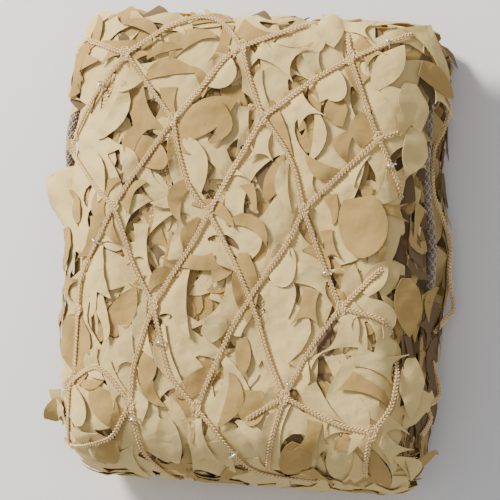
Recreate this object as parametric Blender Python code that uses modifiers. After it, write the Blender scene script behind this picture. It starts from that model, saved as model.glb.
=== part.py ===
"""A length of leaf-cut camouflage netting, folded into a bundle and laid on its back.

The garnish cloth is drawn flat, with its leaf cuts, and then folded: ALONG runs along the cloth and
through its folds, ACROSS runs from its left edge to its right one. Metres, +Z up, +Y is the bundle's
far end and -Y its rounded near end. The origin is at the middle of the underside.
"""

import math
import random

import bmesh
import bpy
from mathutils import Quaternion, Vector
from mathutils.geometry import delaunay_2d_cdt

# ---------------------------------------------------------------- driving dimensions
WIDTH = 0.306            # bundle, left to right
LENGTH = 0.378           # bundle, near end to far end
HEIGHT = 0.112           # top of the uppermost layer, before its crown
CLOTH = 0.003            # cloth thickness with its loft
FOLDS = 6                # nested folds, two layers each
BEND_REACH = 0.036       # how far the outermost fold bulges past its flat layers
TURN_REACH = 0.006       # how far the small turns at the far end bulge
CORNER = 0.034           # plan radius of the bundle's corners
SHOULDER = 0.050         # strip along each side where the layers sink together
SINK = 0.30              # share of their height that the layers lose at the sides
END_SINK = 0.14          # share lost at the two ends
WAVE = 0.020             # share of the height in the surface's slow waves
SWELL_ACROSS = 0.13      # length of those waves across the bundle
SWELL_ALONG = 0.17       # and along it
RIPPLE = 0.09            # length of the finer slanting waves
FOLD_STAGGER = 0.004     # far turns step back by up to three of these
BEND_STEPS = 28          # pieces round each large bend
TURN_STEPS = 10          # and round each small turn

SHIFT = 0.01237          # carries the bundle, with its flared leaves, to the middle of its box
SHIFT_FAR = 0.00042

DRAPE = 0.026            # top layer hanging over the left side
DRAPE_RADIUS = 0.013
HEM_IN = 0.002           # the drape starts to turn this far inside the left side
TOP_EASE = 0.03          # length over which the top layer takes up its drape
TOP_RIGHT = 0.009        # net stops this far short of the right side
SET_BACK = ((38, 8), (90, 8), (120, 9), (160, 11), (190, 14), (250, 23), (320, 21), (390, 15),
            (440, 9), (475, 5))  # (row, mm) that the top layer stops short of the right side
SIDE_IN = ((40, 4), (80, 8), (185, 9), (242, 1), (286, 1), (335, 6), (440, 7), (480, 7))  # (row, mm)
                         # that all layers stand in at the right
SIDE_OUT = ((50, 2), (95, 12), (165, 15), (215, 11), (245, 0), (480, 0))  # and bulge at the left
SLOPE_FROM = 0.5         # share of the height above which the layers step back
NEAR_CORNER = 0.006      # extra rounding of the near right corner
NEAR_ROW = 400           # row where that rounding starts
AIM_LEFT = 0.0082        # the grid's middle lies this far left of the bundle's
AIM_NEAR = 0.0025        # and this far nearer
TURN = 3.0               # degrees that the bundle lies turned clockwise on the grid
SLANT = 2.1              # degrees that the folds run out of square, the left side further up
END_TURN = 3.5           # degrees that the bundle's ends show turned on the grid
EDGE_IN = 0.011          # inner layers keep this far inside the left side
ROPE_GROOVE = 0.012      # depth of the groove that holds the edge rope on the right

LOBE = 0.062             # length of one ragged leaf along the cloth's edges
LOBE_DEPTH = 0.009
SLOT = 0.0016            # width of a leaf's die-cut slot
LEAF_SIDES = 5           # points along each side of a leaf
LOOSE_STEP = 0.024       # step of the cloth's free points on the top layer
EDGE_ROOM = 0.014        # free points keep this far from the cloth's edges
LEAF_ROOM = 0.005        # and this far from a leaf
UNDER_STEP = 0.066       # step of the underside's leaves across the cloth
TONGUE_BASE = 0.0012     # a tongue leaves the cloth with this step
LEAF_GAP = 0.003         # cloth left between two leaves
EDGE_STRIP = 0.010       # and between a leaf and the cloth's edge
TONGUE_ROOM = 0.005      # a raised tongue keeps this far from the net's cords

CORD = 0.0040            # width of the net's cord
CORD_HIGH = 0.0032       # its height
KNOT = 0.0042            # radius of a knot
STRAND_STEP = 0.0105     # longest straight piece of a strand
KNOT_ROOM = 0.007        # a ring's stretch of cord stays this far from a knot
LIFT_OFF = 0.0020        # room between net and cloth
SEAT = 0.0005            # room between a rope and the cloth's edges
ROPE = 0.0080            # edge rope's diameter
RING = 0.0042            # hog ring's mean radius
WIRE = 0.0018            # hog ring's wire

GRID = 0.00082           # step of the grid that the face is set out on
GRID_MIDDLE = 250        # its middle line, both ways
STAND = 3.0              # the standpoint that the face is set out from is this far off
LEAN_RIGHT = 12.0        # degrees: standpoint's lean to the right
LEAN_NEAR = 8.0          # and towards the near end

# ---------------------------------------------------------------- setting-out tables (grid steps)
# leaf cuts on the face: middle across, middle down, turn of the tongue's tip (degrees, 0 = right,
# 90 = far end), length and width in millimetres, outline, tip's lift in millimetres (0 = cut away)
FACE_CUTS = (
    (126, 18, 80, 15, 11, "disc", 0), (102, 25, 120, 24, 16, "disc", 0),
    (150, 43, 20, 58, 30, "leaf", 0), (209, 26, 10, 26, 18, "disc", 0),
    (84, 78, 75, 34, 20, "fin", 5), (108, 92, 60, 36, 18, "leaf", 0),
    (196, 82, 50, 44, 24, "disc", 0), (222, 73, 200, 30, 26, "disc", 6),
    (150, 118, 75, 40, 34, "fin", 6), (128, 176, -60, 36, 26, "disc", 6),
    (142, 196, 30, 30, 20, "fin", 0), (174, 168, -75, 44, 24, "disc", 0),
    (213, 186, 65, 42, 22, "leaf", 6), (214, 116, 40, 40, 26, "leaf", 0),
    (74, 208, 75, 34, 20, "leaf", 0), (98, 172, -80, 30, 16, "fin", 0),
    (142, 224, 50, 34, 18, "leaf", 0), (173, 236, 50, 34, 24, "fin", 5),
    (284, 36, 10, 30, 18, "fin", 0), (328, 36, -80, 30, 22, "leaf", 6),
    (358, 48, -50, 22, 18, "disc", 0), (284, 62, -20, 34, 24, "fin", 6),
    (326, 84, 25, 38, 14, "leaf", 0), (396, 68, 55, 34, 26, "leaf", 6),
    (328, 130, 80, 50, 28, "disc", 7), (296, 112, -60, 34, 22, "fin", 0),
    (388, 112, -70, 38, 24, "fin", 6), (366, 108, -75, 32, 14, "leaf", 0),
    (262, 190, 70, 44, 22, "leaf", 0), (292, 190, -85, 38, 20, "disc", 5),
    (356, 186, 65, 48, 30, "leaf", 0), (378, 180, 60, 28, 20, "fin", 5),
    (362, 234, -60, 42, 38, "disc", 7), (314, 232, -70, 34, 24, "leaf", 0),
    (238, 214, 80, 34, 20, "leaf", 5), (248, 286, -85, 50, 22, "leaf", 6),
    (110, 274, -85, 38, 24, "disc", 6), (124, 312, 60, 40, 22, "leaf", 0),
    (82, 356, -80, 44, 26, "leaf", 0), (196, 300, -80, 46, 28, "disc", 7),
    (98, 316, 80, 30, 14, "fin", 0), (150, 366, 85, 34, 16, "leaf", 5),
    (176, 356, -75, 42, 24, "leaf", 6), (226, 364, -60, 44, 24, "fin", 0),
    (206, 372, 60, 30, 20, "fin", 5), (284, 300, -80, 36, 22, "leaf", 6),
    (316, 282, 80, 34, 24, "fin", 0), (318, 330, 70, 40, 20, "leaf", 0),
    (354, 284, 70, 30, 22, "leaf", 5), (342, 376, 60, 50, 30, "disc", 0),
    (268, 352, -70, 34, 22, "leaf", 0), (168, 438, 60, 30, 20, "leaf", 5),
    (92, 412, -60, 28, 24, "leaf", 5), (112, 446, 50, 26, 16, "leaf", 0),
    (200, 442, -60, 32, 26, "fin", 6), (288, 432, 80, 36, 24, "leaf", 6),
    (250, 440, 70, 28, 16, "fin", 0), (340, 438, 15, 28, 12, "leaf", 0),
    (350, 460, 70, 26, 20, "leaf", 5), (392, 452, -70, 28, 16, "fin", 0),
    (310, 464, 60, 24, 18, "fin", 0), (138, 466, 20, 28, 16, "fin", 0),
)
# knots of the net: name, across, down
KNOTS = {
    "A": (127.5, 55), "B": (175, 121), "C": (210.5, 213.5), "D": (115.6, 207), "E": (74, 148),
    "F": (244, 49), "G": (264, 118), "H": (352, 60.6), "I": (379, 140), "J": (304, 210.5),
    "K": (154.7, 306), "L": (197.7, 409), "M": (132, 405), "N": (83, 312), "O": (72, 385.5),
    "P": (180, 476), "Q": (74, 440), "R": (341, 310), "S": (285, 398), "T": (373, 433),
}
# strands between them: knots by name, bends by across and down
STRANDS = (
    ((84, 40), "A"), ("A", (170, 29), (206, 16), (219, 17), "F"), ("A", (98, 98), "E"), ("A", "B"),
    ("B", (206, 85), (226, 58), "F"), ("F", (252, 84), "G"), ("F", (250, 46), (319, 25)),
    ("B", (134, 177), "D"), ("B", (180, 156), (191, 191), "C"), ("E", (99, 188), "D"),
    ("D", (127.5, 244), (132, 262), "K"), ("D", (100, 243), (84, 280), "N"),
    ("C", (249, 143), "G"), ("C", (190, 251), "K"), ("C", (234, 258), (258, 317), (269, 358), "S"),
    ("G", (319, 78), "H"), ("G", (283, 143), (296, 167), "J"), ("H", (348, 28)),
    ("H", (362, 89), (371, 121), "I"), ("H", (400, 42)), ("I", (406, 131)), ("I", "J"),
    ("I", (394, 177), (402, 199)), ("J", (287, 247), (260, 285), (234, 325), "L"),
    ("J", (317, 249), "R"), ("R", (389, 263)), ("R", (385, 319), (392, 334)),
    ("R", (314, 346), "S"), ("S", (261, 413), (240, 424)), ("S", (271, 441), (268, 470)),
    ("S", (339, 425), "T"), ("T", (390, 409), (397, 362)), ("T", (367, 455), (367, 478)),
    ("K", (134, 368), "M"), ("K", (169, 377), "L"), ("L", (249, 464), (268, 470), (330, 478)),
    ("L", (191, 428)), ("N", (81, 339), (80, 365), "O"), ("O", (100, 362), "M"),
    ("M", (139, 429), (143, 449), "P"), ("M", (112, 438), "Q"), ("O", (74, 415), "Q"),
)
# hog rings: across and down; each straddles the strand nearest to its mark
HOG_RINGS = (
    (105, 82), (96, 240), (388, 47), (388, 168), (329, 276), (165, 345), (136, 418), (292, 386),
    (232, 448),
)
# where the drape on the left flares out: row, half-length in metres, growth of its radius
DRAPE_FLARES = ((190, 0.018, 1.2), (430, 0.014, 1.6))
ROPE_NOTCH = 134         # row of the notch in the drape where the left rope shows
# rope and cord runs at the sides: grid row (down) and how high each point lies, as a share of HEIGHT
ROPE_LEVEL = 0.54
ROPE_RIGHT = ((84, 0.57), (112, 0.54), (140, 0.51), (168, 0.56), (200, 0.51), (232, 0.55),
              (262, 0.51), (290, 0.54))
ROPE_LEFT = ((104, 0.58), (118, 0.70), (134, 0.74), (150, 0.70), (164, 0.58))
LOOP_RIGHT = ((92, 0.72), (106, 0.66), (130, 0.52), (150, 0.40), (190, 0.46), (214, 0.42),
              (238, 0.32), (274, 0.36), (300, 0.26), (312, 0.30), (330, 0.42))
LOOP_LOW = ((336, 0.62), (352, 0.52), (384, 0.34), (396, 0.42), (404, 0.56), (416, 0.50), (434, 0.64))


# ---------------------------------------------------------------- the cloth's path through its folds
def leg(start, end, height):
    """Two ends of a flat layer, as (y, z)."""
    return [(start, height), (end, height)]


def half_turn(y, low, high, reach, side, rising, steps):
    """A half-ellipse between two layers, bulging by `reach` towards `side` (-1 near, +1 far)."""
    middle = (low + high) / 2
    radius = (high - low) / 2
    spots = []
    for step in range(1, steps):
        angle = math.pi * step / steps
        lift = -math.cos(angle) if rising else math.cos(angle)
        spots.append((y + side * reach * math.sin(angle), middle + radius * lift))
    return spots


def fold_profile():
    """The cloth's middle line in the YZ plane, and where each layer and turn starts along it."""
    pitch = (HEIGHT - CLOTH) / (2 * FOLDS - 1)
    near = -LENGTH / 2 + BEND_REACH
    line = []
    marks = []
    for fold in range(FOLDS):
        low = CLOTH / 2 + fold * pitch
        high = HEIGHT - CLOTH / 2 - fold * pitch
        far = LENGTH / 2 - TURN_REACH - FOLD_STAGGER * ((fold * 5) % 4)
        reach = BEND_REACH * (high - low) / (HEIGHT - CLOTH)
        rising = fold % 2 == 0
        first, second = (low, high) if rising else (high, low)
        marks.append(len(line))
        line += leg(far, near, first)
        line += half_turn(near, low, high, reach, -1, rising, BEND_STEPS)
        line += leg(near, far, second)
        if fold < FOLDS - 1:
            following = second - pitch if rising else second + pitch
            line += half_turn(far, min(second, following), max(second, following), TURN_REACH, 1,
                              not rising, TURN_STEPS)
    return line, marks


PROFILE, FOLD_STARTS = fold_profile()
RUN = [0.0]
for _before, _after in zip(PROFILE, PROFILE[1:]):
    RUN.append(RUN[-1] + math.dist(_before, _after))


def on_profile(along):
    """(y, z) of the cloth's middle line at a length along it."""
    along = min(max(along, 0.0), RUN[-1])
    low, high = 0, len(RUN) - 1
    while high - low > 1:
        middle = (low + high) // 2
        if RUN[middle] <= along:
            low = middle
        else:
            high = middle
    share = (along - RUN[low]) / (RUN[high] - RUN[low])
    return tuple(a + (b - a) * share for a, b in zip(PROFILE[low], PROFILE[high]))


def fold_run(fold):
    """Lengths along the cloth where a fold's first layer, bend and second layer begin and end."""
    start = FOLD_STARTS[fold]
    end = FOLD_STARTS[fold + 1] if fold + 1 < FOLDS else len(PROFILE)
    flat = start + 1
    second = flat + BEND_STEPS
    return RUN[start], RUN[flat], RUN[second], RUN[min(second + 1, end - 1)]


TOP_START, TOP_END = fold_run(0)[2], fold_run(0)[3]


# ---------------------------------------------------------------- from flat cloth to folded cloth
def ease(value):
    """0 to 1, flat at both ends."""
    value = min(max(value, 0.0), 1.0)
    return value * value * (3 - 2 * value)


def rise(x, y):
    """How high the layers stand at a place, as a share of their even height."""
    side = max(0.0, (abs(x) - (WIDTH / 2 - SHOULDER)) / SHOULDER)
    end = max(0.0, (abs(y) - (LENGTH / 2 - SHOULDER)) / SHOULDER)
    swell = math.sin(2 * math.pi * (x / SWELL_ACROSS + 0.2)) * math.cos(2 * math.pi * y / SWELL_ALONG)
    ripple = math.sin(2 * math.pi * (x + 0.6 * y) / RIPPLE)
    return 1 - SINK * min(side, 1.1) ** 2 - END_SINK * min(end, 1.0) ** 2 + WAVE * swell + 0.5 * WAVE * ripple


def folded(along, across):
    """Place of the cloth's middle surface, in the folded bundle."""
    y, z = on_profile(along)
    top = ease((along - TOP_START) / TOP_EASE) * ease((TOP_END - along) / TOP_EASE)
    bulge = on_table(SIDE_OUT, y, -1)
    hem = WIDTH / 2 - HEM_IN - DRAPE_RADIUS + bulge
    past = max(0.0, -across - hem) * top
    radius = DRAPE_RADIUS * (1 + sum(amount * math.exp(-((y - row_y(down, -1)) / spread) ** 2)
                                     for down, spread, amount in DRAPE_FLARES))
    x = across + past
    corner = max(0.0, abs(x) - (WIDTH / 2 - CORNER) - (bulge if x < 0 else 0.0))
    corner = min(corner, CORNER * 0.98)
    y *= 1 - (CORNER - math.sqrt(CORNER ** 2 - corner ** 2)) / (LENGTH / 2)
    z = CLOTH / 2 + (z - CLOTH / 2) * rise(x, y)
    y -= x * math.tan(math.radians(SLANT))
    if past > 0:
        angle = min(past / radius, 1.45)
        hang = past - angle * radius
        x -= radius * math.sin(angle) + hang * math.cos(angle)
        z -= radius * (1 - math.cos(angle)) + hang * math.sin(angle)
    return Vector((x + SHIFT, y + SHIFT_FAR, z))


def face_normal(along, across):
    """Direction that the cloth's face looks in."""
    step = 0.001
    run = folded(along + step, across) - folded(along - step, across)
    width = folded(along, across + step) - folded(along, across - step)
    return width.cross(run).normalized()


# ---------------------------------------------------------------- setting out from the standpoint
SIGHT = Vector((math.tan(math.radians(LEAN_RIGHT)), -math.tan(math.radians(LEAN_NEAR)), 1)).normalized()
TARGET = Vector((SHIFT - AIM_LEFT, SHIFT_FAR - AIM_NEAR, HEIGHT / 2))
TURNED = Quaternion(SIGHT, math.radians(TURN))
RIGHTWARD = TURNED @ Vector((0, 1, 0)).cross(SIGHT).normalized()
UPWARD = SIGHT.cross(RIGHTWARD)


def seen(place):
    """Where a place shows on the setting-out grid's plane, in metres from its middle."""
    away = place - TARGET
    scale = STAND / (STAND - away.dot(SIGHT))
    return away.dot(RIGHTWARD) * scale, away.dot(UPWARD) * scale


def cloth_spot(across_mark, down_mark):
    """Flat place on the outermost fold that shows at a mark of the grid."""
    goal = ((across_mark - GRID_MIDDLE) * GRID, (GRID_MIDDLE - down_mark) * GRID)
    along = TOP_START + (goal[1] + LENGTH / 2 - BEND_REACH)
    across = goal[0]
    along = min(max(along, TOP_START - 0.05), TOP_END - 0.012)
    step = 0.0005
    best = (1.0, along, across)
    for _ in range(24):
        here = seen(folded(along, across))
        best = min(best, (math.dist(here, goal), along, across))
        by_along = [(b - a) / step for a, b in zip(here, seen(folded(along + step, across)))]
        by_across = [(b - a) / step for a, b in zip(here, seen(folded(along, across + step)))]
        miss = [g - h for g, h in zip(goal, here)]
        size = by_along[0] * by_across[1] - by_along[1] * by_across[0]
        if abs(size) < 0.05:
            break
        move = (miss[0] * by_across[1] - miss[1] * by_across[0]) / size
        along += min(max(move, -0.02), 0.02)
        move = (by_along[0] * miss[1] - by_along[1] * miss[0]) / size
        across += min(max(move, -0.02), 0.02)
        along = min(max(along, TOP_START - 0.11), TOP_END - 0.004)
        across = min(max(across, -WIDTH / 2 - DRAPE), WIDTH / 2 - TOP_RIGHT - 0.002)
    return best[1:]


# ---------------------------------------------------------------- flat drawing
def inside(spot, outline):
    """Whether a flat spot lies inside a closed outline."""
    odd = False
    for (ax, ay), (bx, by) in zip(outline, outline[1:] + outline[:1]):
        if (ay > spot[1]) != (by > spot[1]) and spot[0] < (bx - ax) * (spot[1] - ay) / (by - ay) + ax:
            odd = not odd
    return odd


def off_line(spot, start, end):
    """Distance of a flat spot from a straight line between two others."""
    run = (end[0] - start[0], end[1] - start[1])
    size = run[0] ** 2 + run[1] ** 2
    share = ((spot[0] - start[0]) * run[0] + (spot[1] - start[1]) * run[1]) / size
    share = min(max(share, 0.0), 1.0)
    return math.dist(spot, (start[0] + share * run[0], start[1] + share * run[1]))


def leaf_sides(kind, width, shares):
    """Right and left half-widths of a leaf at shares of its length from root to tip."""
    right, left = [], []
    for share in shares:
        if kind == "disc":
            half = 0.5 * width * math.sqrt(max(0.0, 1 - ((share - 0.44) / 0.56) ** 2))
            right.append(half)
            left.append(half)
        elif kind == "fin":
            right.append(0.5 * width * (1 - 1.3 * share))
            left.append(0.5 * width * (1.35 * math.sqrt(max(0.0, 1 - share ** 2)) - 0.35 + 0.65 * share))
        else:
            half = 0.5 * width * math.sin(math.pi * (0.16 + 0.84 * share)) ** 0.85
            right.append(half)
            left.append(half)
    return right, left


def leaf_outline(kind, length, width, grow=0.0):
    """Closed outline of a leaf: (forward, sideways) from its root's middle, first and last at the root."""
    shares = [step / (LEAF_SIDES - 1) for step in range(LEAF_SIDES)]
    right, left = leaf_sides(kind, width, shares)
    tip = length + 1.6 * grow
    outline = [(share * tip, -half - grow) for share, half in zip(shares[:-1], right)]
    outline += [(tip, (left[-1] - right[-1]) / 2)]
    outline += [(share * tip, half + grow) for share, half in zip(shares[-2::-1], left[-2::-1])]
    return outline


def place_outline(outline, root, turn):
    """Carries a leaf's outline to the flat cloth; turn is measured from ACROSS towards ALONG."""
    forward = (math.sin(turn), math.cos(turn))
    return [(root[0] + q * forward[0] + w * forward[1], root[1] + q * forward[1] - w * forward[0])
            for q, w in outline]


class Leaf:
    """One die-cut leaf: its slot or hole in the flat cloth, and its tongue where it keeps one."""

    def __init__(self, middle, turn, length, width, kind, lift):
        self.turn, self.length, self.width, self.kind, self.lift = turn, length, width, kind, lift
        forward = (math.sin(turn), math.cos(turn))
        self.forward = forward
        self.root = (middle[0] - forward[0] * length / 2, middle[1] - forward[1] * length / 2)
        self.opening = place_outline(leaf_outline(kind, length, width), self.root, turn)
        self.tongue = []
        if lift > 0:
            inner = leaf_outline(kind, length - 3 * SLOT, width - 3 * SLOT)
            self.tongue = place_outline(inner, self.root, turn)

    def hole(self):
        """Outline that is cut out: the whole leaf, or the slot round its tongue."""
        return self.opening + self.tongue[::-1] if self.tongue else self.opening

    def raised(self, spot):
        """Height of a spot of the tongue above the cloth."""
        if not self.tongue:
            return 0.0
        forward = (spot[0] - self.root[0]) * self.forward[0] + (spot[1] - self.root[1]) * self.forward[1]
        share = forward / self.length
        near_root = min(math.dist(spot, self.tongue[0]), math.dist(spot, self.tongue[-1]))
        if share <= 1e-4 or near_root < 1e-5:
            return 0.0
        return self.lift * (1.5 * share - 0.5 * share ** 3) + TONGUE_BASE * min(1.0, share * 12)


def net_lines():
    """Each strand as a flat polyline on the outermost fold."""
    lines = []
    for strand in STRANDS:
        marks = [KNOTS[stop] if isinstance(stop, str) else stop for stop in strand]
        fine = [marks[0]]
        for start, end in zip(marks, marks[1:]):
            pieces = max(1, round(math.dist(start, end) * GRID / STRAND_STEP))
            for piece in range(1, pieces + 1):
                share = piece / pieces
                fine.append(tuple(a + (b - a) * share for a, b in zip(start, end)))
        lines.append([cloth_spot(*mark) for mark in fine])
    return lines


def apart(outline, other, room):
    """Whether two closed flat outlines keep this much cloth between them."""
    if inside(outline[0], other) or inside(other[0], outline):
        return False
    return all(off_line(spot, a, b) > room for first, second in ((outline, other), (other, outline))
               for spot in first for a, b in zip(second, second[1:] + second[:1]))


def on_cloth(outline):
    """Whether an outline keeps clear of the cloth's own edges."""
    return all(-side_limit(spot[0], -1) + EDGE_STRIP < spot[1] < side_limit(spot[0], 1) - EDGE_STRIP
               for spot in outline)


def face_leaves(lines):
    """The face's leaves from their table, each shrunk until it clears its neighbours.

    A tongue that a strand crosses is cut away instead.
    """
    runs = [(a, b) for line in lines for a, b in zip(line, line[1:]) if math.dist(a, b) > 1e-6]
    leaves = []
    for across, down, turn, length, width, kind, lift in FACE_CUTS:
        middle = cloth_spot(across, down)
        for shrink in (1, 0.9, 0.8, 0.7, 0.6, 0.5):
            sizes = (math.radians(turn), shrink * length / 1000, shrink * width / 1000, kind)
            leaf = Leaf(middle, *sizes, lift / 1000)
            if not on_cloth(leaf.opening):
                continue
            if all(apart(leaf.opening, other.opening, LEAF_GAP) for other in leaves):
                if any(off_line(spot, a, b) < TONGUE_ROOM for spot in leaf.opening for a, b in runs):
                    leaf = Leaf(middle, *sizes, 0)
                leaves.append(leaf)
                break
    return leaves


def underside_leaves(chance):
    """Leaves cut away from the layer that the bundle lies on, in staggered rows."""
    start, end = fold_run(0)[0], fold_run(0)[1]
    leaves = []
    rows = 5
    for row in range(rows):
        along = start + (end - start) * (row + 0.5) / rows
        for column in range(4):
            across = (column - 1.5 + 0.4 * (row % 2) - 0.2) * UNDER_STEP
            if abs(across) < 0.02 and row == 2:
                continue
            kind = chance.choice(("leaf", "disc", "fin"))
            leaves.append(Leaf((along, across), chance.uniform(0, 2 * math.pi), chance.uniform(0.026, 0.036),
                               chance.uniform(0.016, 0.022), kind, 0))
    return leaves


def row_y(down, side):
    """Place along the bundle, +Y, of a row of the grid."""
    aside = side * WIDTH / 2 * math.tan(math.radians(END_TURN))
    return ((GRID_MIDDLE - down) * GRID + aside) / math.cos(math.radians(LEAN_NEAR)) - AIM_NEAR


def on_table(table, y, side):
    """Value of a (row, mm) table of a side at a place along the bundle, in metres."""
    rows = [(row_y(down, side), back / 1000) for down, back in table]
    back = rows[0][1] if y > rows[0][0] else rows[-1][1]
    for (far, first), (near, second) in zip(rows, rows[1:]):
        if near <= y <= far:
            back = second + (first - second) * (y - near) / (far - near)
    return back


def set_back(y, level):
    """How far a layer stops short of the right side, at its share of the height."""
    slope = min(1.0, max(0.0, (level - SLOPE_FROM) / (1 - SLOPE_FROM)))
    return on_table(SIDE_IN, y, 1) + on_table(SET_BACK, y, 1) * slope


def side_limit(along, side):
    """Even distance of the cloth's edge from its middle, for a side: -1 left, +1 right."""
    y, z = on_profile(along)
    outer = along < TOP_END + 0.004
    if side < 0:
        limit = WIDTH / 2 - EDGE_IN + on_table(SIDE_OUT, y, -1)
        if outer:
            top = ease((along - TOP_START) / 0.05) * ease((TOP_END - along) / 0.05)
            notch = ease((abs(y - row_y(ROPE_NOTCH, -1)) - 0.026) / 0.012)
            limit += (DRAPE + EDGE_IN) * top * notch - 0.003
        return limit
    limit = WIDTH / 2 - (0.004 if outer else 0.002)
    beside = ease((0.20 - abs(z / HEIGHT - ROPE_LEVEL)) / 0.05)
    past_end = max(y - row_y(ROPE_RIGHT[0][0], 1), row_y(ROPE_RIGHT[-1][0], 1) - y)
    groove = 0.0 if outer else ROPE_GROOVE * beside * ease((LOBE + 0.02 - past_end) / 0.02)
    groove += on_table(SIDE_IN, y, 1)
    return limit - max(groove, set_back(y, z / HEIGHT)) - NEAR_CORNER * ease((row_y(NEAR_ROW, 1) - y) / 0.04)


def cloth_edge(side, chance):
    """Ragged edge of the cloth on one side, from its start to its end: a row of leaf tips."""
    spots = []
    along = 0.0
    total = RUN[-1]
    while along < total:
        length = LOBE * chance.uniform(0.75, 1.25)
        depth = LOBE_DEPTH * chance.uniform(0.4, 1.0)
        if along + length > total:
            break
        for share, dip in ((0.0, 1.0), (0.22, 0.1), (0.7, 0.0)):
            where = along + share * length
            spots.append((where, side * (side_limit(where, side) - dip * depth)))
        along += length
    spots.append((total, side * (side_limit(total, side) - LOBE_DEPTH)))
    return spots


def triangulate(outlines, loose):
    """Flat triangles that keep every outline's edges: (vertices, triangles)."""
    spots, edges = [], []
    for outline in outlines:
        first = len(spots)
        spots += outline
        edges += [(first + step, first + (step + 1) % len(outline)) for step in range(len(outline))]
    spots += loose
    flat, _, faces, _, _, _ = delaunay_2d_cdt([Vector(spot) for spot in spots], edges, [], 0, 1e-7)
    return [tuple(spot) for spot in flat], [tuple(face) for face in faces]


def middle_of(face, spots):
    """Middle of a flat triangle."""
    return (sum(spots[index][0] for index in face) / 3, sum(spots[index][1] for index in face) / 3)


# ---------------------------------------------------------------- objects
def material(name, colour, roughness, metallic=0.0):
    """A plain Principled material."""
    made = bpy.data.materials.new(name)
    made.use_nodes = True
    shader = made.node_tree.nodes["Principled BSDF"]
    shader.inputs["Base Color"].default_value = (*colour, 1)
    shader.inputs["Roughness"].default_value = roughness
    shader.inputs["Metallic"].default_value = metallic
    return made


def new_object(name, mesh, collection, finish):
    """Links a mesh as a named object with its material."""
    made = bpy.data.objects.new(name, mesh)
    made.data.materials.append(finish)
    collection.objects.link(made)
    return made


def shell(name, places, faces, thickness, collection, finish):
    """A thin closed body: an open surface with Solidify on it."""
    mesh = bpy.data.meshes.new(name)
    mesh.from_pydata(places, [], faces)
    mesh.update()
    tidy = bmesh.new()
    tidy.from_mesh(mesh)
    loose = [vertex for vertex in tidy.verts if not vertex.link_faces]
    bmesh.ops.delete(tidy, geom=loose, context="VERTS")
    tidy.to_mesh(mesh)
    tidy.free()
    made = new_object(name, mesh, collection, finish)
    wall = made.modifiers.new("thickness", "SOLIDIFY")
    wall.thickness = thickness
    wall.offset = 0
    return made


def tube(name, spots, radius, collection, finish, sides=2):
    """A cord or wire along a smooth line of places, with filled ends."""
    curve = bpy.data.curves.new(name, "CURVE")
    curve.dimensions = "3D"
    spline = curve.splines.new("POLY")
    spline.points.add(len(spots) - 1)
    for point, spot in zip(spline.points, spots):
        point.co = (*spot, 1)
    curve.bevel_depth = radius
    curve.bevel_resolution = sides
    curve.use_fill_caps = True
    made = bpy.data.objects.new(name, curve)
    made.data.materials.append(finish)
    collection.objects.link(made)
    return made


def smooth_line(stops, pieces):
    """A smooth line through its stops, with this many steps between each pair."""
    spots = []
    for index in range(len(stops) - 1):
        before = stops[max(index - 1, 0)]
        start, end = stops[index], stops[index + 1]
        after = stops[min(index + 2, len(stops) - 1)]
        for piece in range(pieces):
            t = piece / pieces
            spots.append(0.5 * (2 * start + (end - before) * t
                                + (2 * before - 5 * start + 4 * end - after) * t ** 2
                                + (3 * start - before - 3 * end + after) * t ** 3))
    return spots + [stops[-1]]


def build_garnish(collection, finish, lines):
    """The leaf-cut cloth, one length in nested folds."""
    chance = random.Random(7)
    leaves = face_leaves(lines) + underside_leaves(chance)
    right = cloth_edge(1, chance)
    left = cloth_edge(-1, chance)
    edge = left + right[::-1]
    columns = (-0.148, -0.138, -0.125, -0.104, -0.055, 0.0, 0.055, 0.104, 0.125)
    loose = []
    for fold in range(FOLDS):
        start, flat, second, end = fold_run(fold)
        rows = [start + (flat - start) * share for share in (0.08, 0.35, 0.65, 0.92)]
        steps = 14 if fold == 0 else 5
        rows += [flat + (second - flat) * step / steps for step in range(steps + 1)]
        rows += [second + (end - second) * share for share in (0.08, 0.35, 0.65, 0.92)]
        if fold < FOLDS - 1:
            following = RUN[FOLD_STARTS[fold + 1]]
            rows += [end + (following - end) * share for share in (0.0, 0.3, 0.7, 1.0)]
        loose += [(row, column) for row in rows for column in columns]
    for row in range(round((TOP_END - TOP_START) / LOOSE_STEP)):
        for column in range(-7, 7):
            spot = (row + 0.5) * LOOSE_STEP, (column + 0.5 * (row % 2)) * LOOSE_STEP
            loose.append((TOP_START + spot[0], spot[1]))
    kept = []
    for spot in loose:
        limits = [side_limit(spot[0], side) * side for side in (-1, 1)]
        if not limits[0] + EDGE_ROOM < spot[1] < limits[1] - EDGE_ROOM:
            continue
        if any(math.dist(spot, point) < LEAF_ROOM for leaf in leaves for point in leaf.opening):
            continue
        kept.append(spot)
    outlines = [edge] + [leaf.hole() for leaf in leaves]
    spots, faces = triangulate(outlines, kept)
    holes = outlines[1:]
    boxes = [(min(p[0] for p in hole), max(p[0] for p in hole), hole) for hole in holes]
    solid = []
    for face in faces:
        middle = middle_of(face, spots)
        if not inside(middle, edge):
            continue
        if any(low < middle[0] < high and inside(middle, hole) for low, high, hole in boxes):
            continue
        solid.append(face)
    places = []
    for spot in spots:
        place = folded(*spot)
        for leaf in leaves:
            if leaf.tongue and math.dist(spot, leaf.root) < leaf.length * 1.2:
                on_edge = min(math.dist(spot, point) for point in leaf.tongue) < 1e-6
                if on_edge or inside(spot, leaf.tongue):
                    place = place + face_normal(*spot) * leaf.raised(spot)
        places.append(place)
    return shell("garnish_cloth", places, solid, CLOTH, collection, finish)


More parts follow.
